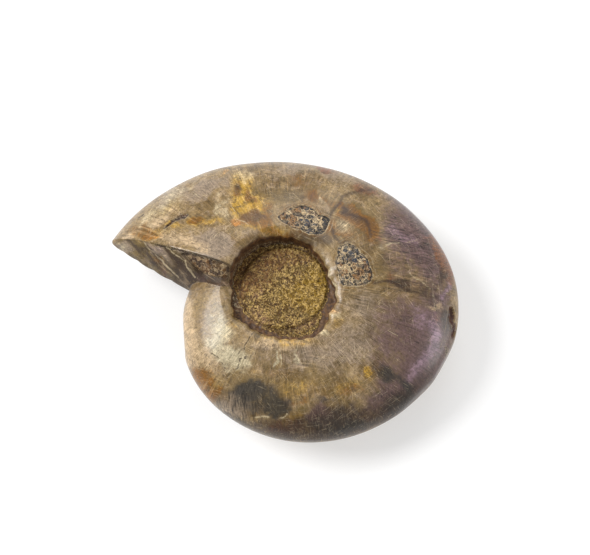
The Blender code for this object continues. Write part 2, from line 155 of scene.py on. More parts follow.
# Chips: middle (x, y), half sizes and turn of a flattened ball
CHIPS = {
    "crack_wide": ((-28.8, 22.4), (2.0, 0.75, 0.8), 22.0),
    "crack_thin": ((-31.6, 20.6), (2.6, 0.4, 0.7), 40.0),
    "notch_high": ((47.3, -5.2), (2.8, 1.2, 1.3), 98.0),
    "notch_low": ((47.8, -9.3), (2.4, 1.0, 1.2), 84.0),
}
CHIP_FADE = 0.5  # mm of depth at which a chip shows its full colour

# How the fossil lies
LEAN_X = 1.39
LEAN_Y = 1.97
CENTRE = (-0.27, -1.26)
LIFT = 13.74

# --- Paint. Stains are laid out in mm on a plane that leans this much from the coil's ---
PAINT_LEAN = 20.0

# Each stain: middle (x, y), half length, half width, turn in degrees, strength
STAINS = {
    "cream": {
        "top window": (-11.3, 35.8, 3.7, 2.5, 20, 0.45),
        "spot above pocket": (10.7, 29.0, 0.9, 1.2, 0, 0.45),
        "over inner pocket": (15.8, 21.0, 2.1, 2.9, 70, 0.4),
        "left edge low": (-15.2, -8.7, 2.3, 2.0, 0, 0.5),
        "hollow edge low": (2.0, -8.5, 9.6, 1.7, -3, 0.35),
        "hollow edge right": (14.6, -3.4, 2.4, 0.9, -35, 0.5),
        "hollow edge corner": (12.1, -6.2, 1.7, 1.1, -40, 0.6),
        "upper left rim": (-39.7, 23.1, 4.5, 1.4, 35, 0.45),
        "upper rim": (-28.0, 33.0, 6.0, 1.2, 32, 0.4),
        "upper left": (-33.8, 28.2, 7.5, 2.2, 32, 0.3),
        "beside window": (-16.5, 26.5, 1.6, 4.0, 10, 0.45),
        "left foot": (-15.0, -13.0, 4.2, 1.1, 35, 0.45),
        "left high": (-18.6, -6.4, 3.4, 0.9, 40, 0.4),
    },
    "peach": {
        "tip": (-42.3, 20.6, 5.6, 1.4, 28, 0.8),
        "left venter": (-26.2, -10.1, 2.5, 9.6, 0, 0.9),
        "left venter top": (-27.3, -1.1, 1.7, 4.5, 0, 0.6),
        "near lip": (-29.6, 18.0, 6.2, 1.7, -14, 0.85),
        "near lip inner": (-23.7, 15.5, 5.6, 1.4, -14, 0.6),
        "right pale": (44.2, -0.6, 3.4, 1.7, -20, 0.5),
        "bottom pane": (-6.2, -29.0, 2.0, 2.0, 0, 0.5),
        "upper left": (-34.0, 24.4, 5.6, 1.8, 24, 0.6),
        "below hollow": (-1.0, -10.8, 12.0, 2.2, 2, 0.6),
        "lower left": (-22.0, -15.5, 3.2, 5.5, 20, 0.55),
        "right of hollow": (19.0, -4.0, 4.6, 6.0, 0, 0.3),
    },
    "gold": {
        "window": (-10.6, 29.2, 4.3, 6.3, 14, 1.0),
        "window foot": (-7.0, 23.1, 3.9, 2.8, -20, 0.9),
        "tip band": (-38.6, 20.6, 5.6, 1.9, -10, 0.6),
        "flank patch": (-25.1, 23.4, 2.8, 1.6, -10, 0.8),
        "beside patch": (-19.2, 23.1, 4.5, 1.4, -8, 0.5),
        "above hollow": (-4.0, 20.2, 5.2, 2.2, -8, 0.8),
        "low right spot": (23.7, -18.3, 2.6, 2.3, 0, 0.65),
        "low left": (-21.4, -22.9, 3.4, 3.8, -40, 0.55),
        "below hollow": (2.0, -9.8, 11.0, 1.8, 0, 0.5),
        "low middle": (-8.7, -19.7, 2.5, 1.2, 0, 0.3),
        "low band": (3.4, -22.5, 7.3, 2.0, 0, 0.35),
        "low right": (17.5, -22.5, 5.1, 2.3, 10, 0.4),
        "over arc": (17.0, 25.4, 3.4, 1.4, -10, 0.8),
        "upper left": (-32.4, 27.0, 5.1, 1.7, 30, 0.3),
        "top rim": (-16.1, 37.2, 2.0, 0.8, 0, 0.4),
        "hollow corner": (14.9, -5.1, 2.5, 1.4, -30, 0.35),
        "bottom": (3.9, -31.6, 2.8, 2.3, 0, 0.5),
        "window top": (-10.8, 35.0, 3.4, 2.4, 10, 0.6),
        "window side": (-4.6, 28.5, 2.2, 4.0, 0, 0.35),
        "near patch": (-31.0, 22.0, 3.4, 1.0, -6, 0.5),
        "left of hollow": (-14.0, -6.0, 2.4, 5.0, 0, 0.3),
        "window low side": (-5.0, 25.0, 1.6, 2.0, 0, 0.5),
    },
    "ochre": {
        "window heart": (-9.3, 30.4, 1.6, 2.6, 20, 0.8),
        "window foot": (-7.0, 22.9, 4.6, 2.3, -14, 1.0),
        "flank patch": (-24.5, 23.7, 2.6, 1.3, -6, 0.95),
        "window low": (-10.4, 23.9, 2.5, 1.4, 20, 0.7),
        "tip": (-39.6, 20.8, 4.6, 1.7, -12, 1.0),
        "top speckles": (8.2, 30.2, 2.6, 3.0, 40, 0.85),
        "top rim": (3.9, 35.5, 4.2, 1.4, -12, 0.45),
        "arc": (20.4, 23.0, 5.0, 2.4, -14, 1.0),
        "arc end": (24.4, 20.6, 2.3, 4.2, 20, 0.9),
        "arc foot": (18.0, 18.6, 5.0, 2.0, -16, 0.5),
        "dark spot": (15.8, 27.0, 1.4, 1.1, 30, 0.9),
        "above hollow": (-1.2, 19.0, 6.0, 1.9, -6, 0.8),
        "low left": (-21.9, -21.9, 2.9, 2.9, -40, 0.9),
        "low left inner": (-18.6, -24.8, 2.6, 2.1, 0, 0.9),
        "over pocket": (13.2, 28.5, 3.4, 0.8, -20, 0.5),
        "low band": (-2.3, -19.4, 5.6, 1.1, 0, 0.3),
        "low band right": (4.8, -25.6, 5.1, 1.4, 0, 0.5),
        "low right": (18.6, -23.9, 4.2, 1.7, 0, 0.5),
        "round pocket": (8.2, 22.6, 8.4, 3.8, -22, 0.7),
        "window side": (-4.2, 25.8, 2.6, 3.2, 10, 0.65),
        "window edge": (-13.6, 31.8, 1.3, 2.2, -10, 0.7),
        "bottom pane": (-5.9, -28.9, 2.4, 2.4, 0, 0.4),
        "arc head": (18.6, 24.4, 4.2, 2.2, -14, 1.0),
        "notch side": (44.0, -5.0, 2.0, 2.4, 0, 0.4),
        "low left rim": (-23.8, -20.0, 1.6, 3.6, 20, 0.8),
    },
    "orange": {
        "tip line": (-36.3, 19.4, 3.4, 0.7, -8, 0.4),
        "window foot": (-12.0, 23.2, 2.4, 1.4, -15, 0.7),
        "top rim": (-15.8, 37.2, 1.7, 0.6, 0, 0.4),
        "hollow edge": (14.1, -2.8, 1.4, 0.6, -30, 0.7),
        "low left": (-20.6, -20.8, 1.1, 1.4, -30, 0.3),
        "low left inner": (-19.4, -25.9, 1.7, 1.4, 0, 0.25),
        "above hollow": (-1.4, 19.2, 2.5, 0.8, -8, 0.5),
        "window heart": (-8.6, 27.2, 2.0, 3.0, 10, 0.2),
        "right rim": (44.2, 13.4, 1.4, 3.6, 20, 0.6),
        "below hollow": (4.0, -9.6, 6.0, 0.8, 0, 0.3),
    },
    "rust": {
        "right rim": (43.6, 14.4, 2.2, 6.2, 22, 0.8),
        "right rim low": (45.9, 9.6, 1.6, 4.4, 15, 0.9),
        "top rim": (12.7, 37.5, 2.5, 1.0, -18, 0.85),
        "top stripes": (22.6, 32.7, 4.6, 1.5, -12, 0.6),
        "bottom": (-2.5, -35.2, 2.5, 0.8, -12, 0.8),
        "low left rim": (-22.5, -25.9, 2.3, 1.1, -45, 0.4),
        "right line": (30.7, 7.3, 2.5, 1.7, -30, 0.45),
        "low right rim": (37.2, -27.6, 6.2, 1.1, 32, 0.6),
        "over pocket": (8.2, 30.4, 1.7, 1.1, 60, 0.5),
        "beside arc": (27.3, 19.4, 1.1, 2.8, 10, 0.35),
        "below smudge": (-1.5, -34.6, 4.0, 1.2, -10, 0.7),
        "bottom middle": (2.0, -34.0, 6.0, 2.2, -6, 0.6),
    },
    "umber": {
        "between pocket and hollow": (6.6, 18.6, 7.0, 2.8, -12, 0.55),
        "hollow corner": (11.0, 16.3, 2.3, 2.3, -45, 0.6),
        "right line": (34.1, 5.6, 4.8, 2.0, -22, 0.7),
        "right line end": (41.4, 3.4, 3.9, 1.4, -15, 0.45),
        "notch high": (47.3, -3.9, 1.4, 2.3, -20, 0.95),
        "notch low": (48.2, -7.3, 0.9, 2.8, 10, 0.9),
        "arc end": (25.4, 22.3, 1.5, 2.6, 25, 0.25),
        "bottom rim": (16.1, -37.5, 11.3, 1.1, 0, 0.6),
        "bottom rim right": (38.6, -26.8, 6.2, 2.0, 36, 0.75),
        "bottom": (13.2, -30.5, 12.0, 5.0, 0, 0.42),
        # these three darken the bottom edge: partly the stone's dark colour, partly painted shade where the
        # venter turns away from the light
        "bottom venter": (8.0, -37.0, 26.0, 6.0, 2, 0.8),
        "bottom right venter": (33.0, -29.5, 14.0, 6.0, 36, 0.75),
        "bottom left venter": (-18.0, -33.5, 10.0, 3.6, -36, 0.6),
        "top cloud": (3.4, 30.7, 3.9, 1.7, -20, 0.3),
        "bottom left rim": (-19.2, -33.8, 5.1, 1.4, -40, 0.35),
        "bottom right": (19.4, -30.1, 6.8, 2.5, -10, 0.35),
        "right rim": (44.2, 8.2, 1.1, 1.7, -20, 0.6),
        "beside inner pocket": (28.7, 11.8, 1.7, 3.4, 10, 0.3),
        "window foot": (-7.0, 23.6, 3.6, 1.7, -10, 0.6),
        "arc": (20.0, 23.2, 4.4, 1.6, -14, 0.5),
        "dark spot": (16.4, 25.6, 1.6, 1.1, 20, 0.75),
        "top line": (2.5, 36.0, 4.4, 0.9, -6, 0.2),
        "bottom left foot": (-5.0, -33.5, 8.0, 2.6, -12, 0.55),
        "window spot": (-13.2, 31.9, 1.7, 0.7, 0, 0.7),
        "right rim shade": (42.6, 13.0, 2.0, 5.0, 22, 0.2),
        "notch wide": (46.6, -5.6, 2.4, 4.4, 0, 0.6),
        "gold low": (-11.0, 24.6, 2.0, 1.2, 30, 0.3),
        "top cloud left": (-4.5, 30.0, 2.0, 1.4, 20, 0.3),
        "top speckles": (8.6, 29.6, 1.8, 2.2, 40, 0.35),
        "right line spot": (33.8, 5.8, 2.6, 1.4, -20, 0.6),
    },
    "olive": {
        "blob under arc": (17.5, 18.0, 2.5, 3.4, 20, 0.4),
        "right of inner pocket": (22.0, -0.3, 6.2, 6.2, 0, 0.5),
        "right middle": (30.1, -0.6, 6.8, 3.9, -20, 0.35),
        "top": (-2.3, 27.9, 3.4, 4.5, 10, 0.3),
        "beside inner pocket": (27.3, 11.8, 2.8, 5.6, 10, 0.5),
        "low left": (-12.1, -25.9, 8.5, 2.8, 0, 0.2),
        "low middle": (10.4, -18.6, 7.9, 4.5, 0, 0.45),
        "left of hollow": (-16.3, -3.9, 3.9, 4.5, -20, 0.3),
        "upper left": (-20.6, 27.9, 5.1, 1.7, 0, 0.3),
        "top cloud": (0.6, 31.0, 6.4, 2.8, -6, 0.75),
        "beside top pocket": (14.9, 20.6, 3.2, 3.4, 20, 0.7),
        "around ring": (19.0, 21.4, 6.5, 5.5, 0, 0.5),
        "bottom pane": (-5.0, -27.2, 1.6, 2.4, 0, 0.6),
        "bottom spot": (5.2, -28.4, 2.4, 2.2, 0, 0.7),
        "low left wide": (-13.5, -21.0, 6.0, 3.6, -30, 0.45),
        "low band": (-2.0, -21.5, 9.0, 2.4, 0, 0.4),
        "arc": (21.5, 23.5, 5.0, 3.4, -20, 0.8),
        "window gold": (-8.0, 32.5, 3.0, 2.4, 0, 0.5),
        "low left gold": (-20.0, -24.0, 3.0, 2.6, 0, 0.6),
        "upper right middle": (26.0, 8.0, 6.0, 5.0, 0, 0.3),
    },
    "grey": {
        "upper left cloud": (-21.1, 32.7, 7.9, 2.8, 20, 0.85),
        "near lip": (-19.4, 15.8, 8.4, 4.0, -16, 1.0),
        "top rim": (2.0, 37.7, 6.2, 1.8, 0, 0.6),
        "top cloud": (0.8, 31.3, 6.8, 3.0, 0, 0.35),
        "top right rim": (16.1, 35.5, 5.1, 2.8, -18, 0.5),
        "low middle": (14.6, -10.1, 8.5, 4.5, -10, 0.5),
        "top right": (30.1, 27.9, 6.2, 3.9, -30, 0.35),
        "low right": (23.4, -10.1, 8.5, 6.2, 0, 0.45),
        "below hollow": (4.8, -14.4, 8.5, 3.9, 0, 0.4),
        "bottom left": (-13.4, -28.0, 4.6, 4.6, -20, 0.95),
        "above hollow": (-7.6, 20.0, 2.0, 1.7, 0, 0.8),
        "upper left": (-33.2, 29.3, 3.9, 1.4, 35, 0.4),
        "hollow foot": (-6.5, -13.0, 3.9, 3.4, 0, 0.4),
        "right middle": (22.5, -0.5, 6.5, 5.0, 0, 0.6),
        "low wide": (12.0, -15.0, 12.0, 4.5, -6, 0.4),
        "upper left rim": (-31.0, 30.6, 8.0, 1.6, 33, 0.6),
    },
    "mauve": {
        "upper right": (35.8, 23.7, 8.5, 7.3, -40, 0.7),
        "upper right wide": (37.5, 17.0, 11.5, 12.0, -42, 0.7),
        "low right wide": (36.0, -14.0, 14.0, 16.0, 10, 0.55),
        "right": (41.4, 12.4, 4.5, 8.5, 10, 0.65),
        "right low": (43.1, -10.1, 5.6, 13.5, 0, 0.9),
        "low right": (37.2, -21.4, 7.3, 7.9, 0, 0.8),
        "right middle": (33.0, -7.3, 8.5, 8.5, 0, 0.45),
        "bottom": (16.1, -32.7, 9.6, 3.9, 0, 0.5),
        "bottom left": (10.4, -31.3, 3.9, 3.4, 0, 0.55),
        "bottom right": (28.7, -27.0, 8.5, 5.6, 20, 0.6),
        "top right": (33.0, 32.1, 6.8, 2.8, -38, 0.5),
        "right notch": (45.6, 1.1, 2.8, 3.9, 0, 0.6),
        "bottom slate side": (10.0, -29.0, 4.0, 5.0, 0, 0.5),
    },
    # partly pale pearly shell, partly a painted highlight: the pale sheen on the lower left flank where the
    # left light reflects
    "pearl_and_highlight": {
        "left": (-18.0, -7.3, 3.4, 5.6, -8, 0.75),
        "left low": (-17.2, -13.5, 4.5, 3.9, -30, 0.6),
        "left foot": (-12.9, -16.0, 3.9, 3.4, -30, 0.7),
        "ray": (-2.5, -14.9, 0.5, 3.4, -8, 0.7),
        "ray thin": (-1.1, -14.6, 0.35, 3.2, -8, 0.6),
        "ray right": (3.9, -13.5, 0.35, 3.0, -6, 0.6),
        "beside inner pocket": (26.5, 15.2, 2.0, 0.8, 50, 0.3),
        "hollow glow": (14.8, 5.2, 0.8, 3.2, 0, 0.6),
        "hollow glow low": (15.3, 2.0, 0.8, 2.6, 0, 0.4),
        "dashes": (31.0, 16.9, 2.8, 0.6, 10, 0.5),
        "inner pocket side": (14.2, 7.6, 0.8, 3.6, 0, 0.7),
        "upper left": (-33.4, 27.4, 8.0, 2.6, 32, 0.35),
    },
    # partly a violet tint of the shell, partly a painted highlight: the pale lavender sheen on the lower
    # right flank
    "lavender_and_highlight": {
        "right": (43.0, -8.0, 2.6, 5.5, -8, 0.65),
        "right low": (40.5, -15.5, 2.4, 5.0, -20, 0.55),
        "right middle": (38.5, -4.0, 3.0, 4.5, 0, 0.4),
        "low right": (35.5, -20.0, 3.0, 5.0, -30, 0.4),
        "upper right": (33.5, 20.0, 7.0, 2.0, -35, 0.35),
        "right edge": (46.0, 4.0, 1.2, 5.0, 0, 0.5),
    },
    "charcoal": {
        "bottom left streak": (-10.0, -23.8, 5.4, 2.0, 0, 0.95),
        "bottom slate": (-1.7, -26.9, 4.0, 4.0, 0, 1.0),
        "bottom left wide": (-8.0, -27.0, 10.5, 4.6, -8, 0.6),
        "low right smudge": (31.0, -19.7, 4.8, 2.0, -45, 0.65),
        "low right smudge foot": (34.1, -23.1, 2.8, 1.7, -40, 0.6),
        "bottom": (17.2, -30.4, 5.6, 3.4, 0, 0.4),
        "bottom rim": (13.2, -34.1, 9.6, 2.3, 0, 0.5),
        "bottom left rim": (-12.1, -33.8, 6.8, 2.3, -22, 0.55),
        "low band": (11.0, -25.4, 4.5, 1.4, 0, 0.45),
        "smudge head": (28.7, -17.5, 2.0, 1.7, 0, 0.5),
        "bottom right rim": (21.7, -34.1, 7.3, 2.0, 12, 0.5),
        "bottom right low": (33.0, -27.5, 6.0, 3.0, 35, 0.6),
    },
    "brushed": {
        "upper right": (33.0, 20.0, 10.0, 9.0, -20, 0.9),
        "right": (36.0, 8.0, 9.0, 8.0, 0, 0.8),
        "right of hollow": (22.0, 2.0, 6.0, 4.0, 0, 0.6),
        "low middle": (6.0, -16.5, 9.0, 3.0, 20, 0.7),
        "top": (0.0, 32.0, 8.0, 4.0, 0, 0.5),
    },
    "combed": {
        "bottom left": (-12.0, -29.0, 8.0, 6.0, 0, 1.0),
        "low right": (30.0, -24.0, 8.0, 7.0, 0, 0.5),
        "left foot": (-16.0, -10.0, 4.0, 6.0, 0, 0.35),
        "bottom": (10.0, -32.0, 12.0, 5.0, 0, 0.5),
    },
}

# Stains of the stone face behind the lip, laid out in the same way; some of its umber and olive is painted
# shade
FACE_STAINS = {
    "cream": {"knob edge": (-46.8, 18.2, 1.6, 0.6, 20, 0.5)},
    "peach": {"foot": (-17.2, 5.9, 4.4, 1.4, -10, 0.4)},
    "gold": {"tip": (-40.5, 17.4, 2.2, 0.6, -30, 0.4)},
    "ochre": {
        "middle": (-35.6, 10.9, 2.6, 1.1, -40, 0.7),
        "hollow": (-20.5, 10.6, 5.0, 3.0, -20, 0.4),
    },
    "rust": {
        "foot": (-33.0, 8.2, 3.2, 0.9, -42, 0.6),
        "contact": (-19.5, 6.8, 6.0, 1.0, -12, 0.35),
    },
    "umber": {
        "round crystals": (-21.1, 11.0, 7.5, 4.4, -22, 1.0),
        "inner edge": (-26.0, 6.5, 6.5, 1.6, -40, 0.8),
        "outer band": (-38.4, 12.6, 6.2, 0.8, -42, 0.55),
        "middle band": (-29.2, 10.6, 7.4, 1.0, -44, 0.5),
        # partly painted shade: umber over the whole face and its lower half, with the olive below, darkens
        # the face where it turns away from the light
        "whole": (-26.0, 9.5, 14.0, 7.0, -38, 0.25),
        "lower half": (-30.0, 1.0, 16.0, 7.0, -38, 0.45),
    },
    "olive": {
        "outer band": (-38.6, 13.5, 7.5, 1.3, -40, 0.95),
        "middle band": (-29.9, 11.3, 7.6, 1.7, -43, 0.95),
        "foot": (-22.0, 9.0, 6.0, 2.4, -30, 0.9),
        "whole": (-31.0, 11.5, 18.0, 9.0, -38, 0.9),
        "lower half": (-34.0, 4.0, 16.0, 8.0, -38, 0.8),
    },
    "grey": {
        "knob": (-45.6, 16.4, 2.8, 2.3, 0, 1.0),
        "outer band": (-35.6, 13.8, 6.0, 1.5, -43, 0.95),
        "inner band": (-28.0, 12.2, 3.8, 1.1, -43, 0.85),
    },
    "mauve": {
        "outer band": (-36.2, 14.0, 4.4, 1.0, -43, 0.3),
        "contact": (-20.0, 6.4, 6.5, 1.2, -14, 0.8),
        "low band": (-34.0, 5.0, 9.0, 1.6, -38, 0.5),
    },
    "pearl_and_highlight": {
        "knob": (-45.8, 16.6, 2.0, 1.6, -20, 0.4),
        "outer band": (-36.8, 14.8, 3.0, 0.7, -43, 0.3),
    },
    "lavender_and_highlight": {
        "outer band": (-36.9, 15.0, 3.6, 0.8, -43, 0.35),
        "inner band": (-29.2, 13.6, 2.4, 0.7, -43, 0.3),
    },
    "charcoal": {
        "band edge": (-34.6, 11.8, 5.0, 0.5, -45, 0.55),
        # painted shadow: a dark band under the lip's rim, where the rim overhangs the face
        "under lip": (-25.4, 13.4, 7.0, 0.8, -16, 0.9),
        "far end": (-17.6, 10.6, 2.0, 2.6, 0, 0.6),
    },
}

# Lines: half width, then points (x, y)
LINES = {
    "vein": {
        "top": (0.3, ((24.8, 32.1), (21.7, 32.1), (18.9, 31.4), (16.9, 30.7), (16.1, 28.7), (15.2, 27.3))),
        "top foot": (0.26, ((15.2, 27.3), (14.6, 26.2), (13.2, 23.9), (12.7, 22.3))),
        "arc": (0.35, ((17.2, 25.4), (19.0, 25.6), (21.4, 24.6), (23.4, 23.2), (24.6, 21.0), (24.9, 18.6))),
        "right": (0.26, ((24.9, 6.2), (28.5, 6.8), (30.7, 6.2), (32.7, 5.1), (35.5, 3.8))),
        "right end": (0.2, ((35.5, 3.8), (40.3, 2.3), (45.9, 1.7))),
        "over inner pocket": (0.22, ((13.8, 22.3), (14.4, 19.2), (16.1, 17.2), (18.9, 17.2))),
    },
    "crack": {
        "upper left": (0.2, ((-33.4, 21.2), (-32.6, 22.4), (-31.6, 22.8), (-31.0, 23.9), (-29.9, 23.9))),
        "upper left end": (0.42, ((-29.9, 24.0), (-29.0, 24.7), (-28.2, 24.3), (-27.4, 24.8))),
        "low": (
            0.05,
            ((-8.2, -7.9), (-10.1, -10.6), (-10.6, -13.4), (-11.6, -15.2), (-12.6, -17.7), (-15.2, -20.3)),
        ),
        "low left": (0.04, ((-20.3, -13.2), (-18.5, -14.6), (-17.4, -15.2), (-16.6, -16.7), (-16.1, -18.9))),
        "right": (0.1, ((42.0, 2.8), (42.8, -0.3), (43.1, -2.0))),
        "right low": (0.12, ((45.1, -11.3), (45.6, -13.8))),
        "mark": (0.14, ((-41.4, 24.4), (-40.2, 25.3), (-39.4, 25.6))),
        "low spot": (0.22, ((-10.4, -15.0), (-10.1, -14.4))),
        "low spot outer": (0.25, ((-13.0, -18.0), (-12.4, -17.4))),
    },
    "scratch": {
        "bottom": (0.3, ((-7.6, -30.9), (-5.6, -30.6), (-3.9, -30.9))),
        "bottom right": (0.28, ((-0.8, -31.3), (0.4, -31.0), (1.4, -30.1))),
        "upper left": (0.18, ((-25.9, 32.1), (-24.5, 30.4), (-23.1, 29.0))),
        "right dashes": (0.16, ((28.7, 16.3), (33.0, 17.5), (37.2, 18.0))),
        "right dashes low": (0.1, ((33.5, 12.4), (37.2, 12.1))),
        "right streak": (0.22, ((35.2, 9.3), (37.7, 7.0), (41.1, 4.2))),
        "right streak outer": (0.16, ((42.0, 5.6), (47.0, 2.0))),
        "window edge": (0.14, ((-15.5, 31.3), (-14.6, 28.2), (-13.2, 24.2), (-9.6, 22.3))),
        "low right": (0.12, ((24.8, -16.1), (26.2, -20.8), (27.3, -24.8))),
        "low curve": (0.1, ((14.4, -15.2), (18.9, -14.1), (23.9, -14.6))),
        "low curve left": (0.1, ((-3.7, -11.5), (4.8, -9.6), (9.9, -8.5))),
        "middle": (0.1, ((0.0, -19.2), (6.2, -16.3), (13.2, -13.5))),
        "right low": (0.1, ((26.8, -11.5), (30.7, -14.1), (33.0, -16.3))),
        "right low outer": (0.12, ((28.7, -6.8), (31.5, -8.7), (33.0, -10.4))),
        "bottom left": (0.1, ((-12.1, -25.1), (-12.1, -29.3))),
    },
}
FACE_LINES = {
    "vein": {
        "outer": (
            0.3,
            ((-38.6, 17.2), (-37.2, 15.1), (-35.2, 13.1), (-33.3, 11.4), (-32.1, 9.9), (-31.0, 8.2)),
        ),
        "inner": (0.3, ((-32.2, 14.8), (-31.5, 13.4), (-29.9, 12.0), (-28.4, 11.0), (-27.3, 9.3))),
        "knob": (0.25, ((-43.6, 18.0), (-42.2, 16.4), (-40.8, 15.2), (-39.0, 13.0), (-36.0, 10.6))),
    },
    "crack": {
        # the two 'under lip' lines are partly painted shadow: a dark line along the lip's rim, drawn with
        # the cracks' dark colour and dent
        "under lip": (0.22, ((-35.5, 16.6), (-33.4, 15.8), (-30.9, 15.1), (-28.2, 14.6), (-25.3, 13.5))),
        "under lip inner": (
            0.3,
            ((-25.3, 13.5), (-22.5, 13.0), (-20.3, 12.5), (-17.6, 11.5), (-15.8, 10.4)),
        ),
    },
    "scratch": {
        "outer": (0.2, ((-40.0, 17.7), (-38.4, 16.4), (-37.4, 15.2), (-35.9, 14.0), (-35.2, 13.0))),
        "outer foot": (
            0.28,
            ((-35.2, 13.0), (-33.9, 12.0), (-33.3, 11.1), (-32.1, 10.0), (-31.3, 9.2), (-29.4, 7.4)),
        ),
        "inner": (0.2, ((-32.4, 15.5), (-31.2, 14.9), (-30.6, 14.1), (-29.0, 13.1), (-27.5, 12.0))),
        "inner foot": (0.26, ((-27.5, 12.0), (-27.2, 11.1), (-26.6, 10.1), (-25.2, 9.0), (-24.4, 7.9))),
    },
}
LINE_REACH = 1.5  # mm, beyond which a line no longer counts
STAIN_HEART = 0.2  # of a stain's half sizes: how far it is even, and how wide its soft border is
STAIN_FADE = 1.35
STAIN_WANDER = 1.5  # mm, how far the stains' borders wander, and then how far the lines do
LINE_WANDER = 0.45
WANDER_WAVES = ((6.5, 1.0), (2.6, 0.6), (1.1, 0.35))  # width in mm and share
UNDER_LEVEL = -4.0  # mm over the middle plane: below it only the underside's stains show
UNDER_FADE = 6.0  # mm, over which the upper flank's stains take over
LINES_END = 0.2  # share of the underside's stains at which the upper flank's lines end

# Stains of the crystals in the umbilicus; the 'shade' group is painted shade
CRUST_STAINS = {
    "gold": {
        "right": (9.0, 5.0, 4.5, 7.0, -15, 1.0),
        "middle": (2.5, 2.5, 5.5, 4.0, 20, 0.55),
        "low right": (9.5, -1.5, 3.0, 2.5, 0, 0.6),
    },
    "pink": {
        "streak": (-7.3, 2.8, 2.4, 1.0, 35, 0.9),
        "lower left": (-7.0, -4.0, 5.0, 4.0, -30, 0.6),
        "low rim": (6.5, -5.5, 4.5, 2.0, 25, 0.55),
    },
    # painted shade: the upper left of the crystals darkened as if shadowed by the high umbilicus wall
    "shade": {
        "upper left": (-7.5, 9.0, 8.5, 5.5, 40, 1.0),
        "upper rim": (0.0, 13.0, 9.0, 2.6, 0, 0.8),
        "left rim": (-12.5, 2.5, 2.0, 7.0, -10, 0.8),
    },
}

# --- Clouds, grains and streaks of the finishes ---

# The order in which stains are laid on, those with soft edges, and those that lie over the gold's streaks
STAIN_ORDER = ("olive", "grey", "mauve", "lavender_and_highlight", "peach", "pearl_and_highlight", "gold", "ochre", "orange", "rust")
SOFT_STAINS = ("lavender_and_highlight", "pearl_and_highlight", "mauve")
DARK_AND_PALE_STAINS = ("cream", "umber", "charcoal")

# Noise: scale per mm, detail, roughness, distortion
CLOUD = (0.15, 6.0, 0.62, 0.8)
PATCH = (0.6, 6.0, 0.66, 0.6)
MOTTLE = (1.25, 5.0, 0.72, 0.5)
GRAIN = (2.6, 5.0, 0.75, 0.3)
TONE = (0.33, 5.0, 0.66, 0.7)
DOTS = (1.7, 3.0, 0.75)
FLECKS = (1.1, 3.0, 0.7)
CRUST_PATCH = (0.5, 6.0, 0.68, 0.5)
CRUST_GRAIN = (2.4, 5.0, 0.75, 0.4)
CRUST_BARE = (0.8, 3.0, 0.6)
WINDOW_PATCH = (0.45, 4.0, 0.65, 0.5)
WINDOW_GRAIN = (2.4, 5.0, 0.75, 0.5)
HAIR_PATCH = (0.13, 3.0)
FLOOR_MIST = (0.01, 3.0)

# Streaks: the stretch of the places, then the noise on them, whose scale is 1
STRIA = ((0.9, 0.13, 0.1), (1.0, 5.0, 0.62, 0.5))
FINE_STRIA = ((3.0, 0.28, 0.2), (1.0, 3.0, 0.6, 0.2))
BRUSHING = ((0.12, 2.6, 0.5), (1.0, 3.0, 0.6, 0.3))
FACE_STREAK = ((0.1, 1.3, 0.3), (1.0, 4.0, 0.6, 0.4))
BRUSHING_TURNS = {"brushed": 7, "combed": 84}
FACE_STREAK_TURN = 43.0
FLECKS_STRETCH, FLECKS_TURN = (1.2, 3.4, 2.0), 12

# Hair scratches: turn, stretch, and turn of the patches that a lay shows in. The last one follows the coil
HAIR = (1.0, 3.0, 0.55)
HAIR_LAYS = (
    (24, (0.16, 5.5, 0.5), 7.0),
    (-38, (0.16, 6.5, 0.5), 13.0),
    (83, (0.16, 6.0, 0.5), 23.0),
    (52, (0.16, 6.0, 0.5), 41.0),
    (None, (0.06, 4.6, 2.0), 31.0),
)

# Curls: scale per mm, and half width in shares of the noise's range
CURL_NOISE = (3.0, 0.6, 1.4)
WALL_CURLS, WALL_DARK_CURLS = (0.7, 0.03), (0.55, 0.035)
CRUST_DARK_CURLS, CRUST_LIGHT_CURLS = (0.8, 0.036), (0.85, 0.03)
WINDOW_CURLS = (0.7, 0.012)
CRUST_LIGHT_TURN = 40
SUGAR_SCALE, SPARKLE_SCALE, FACET_SCALE = 1.7, 2.1, 0.95  # cells per mm
FACET_BEND = (1.1, 1.2)  # scale, and reach in mm

# --- Crystals: faceted grains, in widths of a grain ---
GRAIN_JITTER = 0.45
GRAIN_RISE = 0.35
GRAIN_SLOPE = 0.7
GRAIN_DOME = 0.8
LEDGE_GRAIN = 0.8
LEDGE_GRAIN_SINK = 0.2
COARSE_GRAIN = 2.6  # how much wider than the grains of the umbilicus the lumps under them are
COARSE_SHARE = 0.9  # how high these lumps are next to the grains
COARSE_SHIFT = 40  # mm, so that grains and lumps don't line up
WINDOW_GRAIN_SINK = 0.1
LIP_GRAIN_STRETCH = 12  # mm across the hollow of the face, whose places run from 0 to 1
LIP_GRAIN_RISE = 1.5

# --- Fineness: steps along the growth and the section, and cells across a disc of crystals ---
GROWTH_STEPS = 500
FACE_STEPS = 60
LEDGE_STEPS = 6
SHOULDER_STEPS = 9
FLANK_STEPS = 90
FLANK_STEPS_UNDER = 46
CRUST_CELLS = 210
CRUST_CELLS_UNDER = 150
POCKET_CELLS = 100
LIP_POCKET_CELLS = 80
SPACING_STEPS = 2000
SPACING_GROWTH = 180.0  # where the section is measured that the rows are spread over
SHARP_ANGLE = 50.0
CRUST_SHARP_ANGLE = 40.0
POCKET_SHARP_ANGLE = 35.0
TINY = 1e-9  # keeps divisions from failing

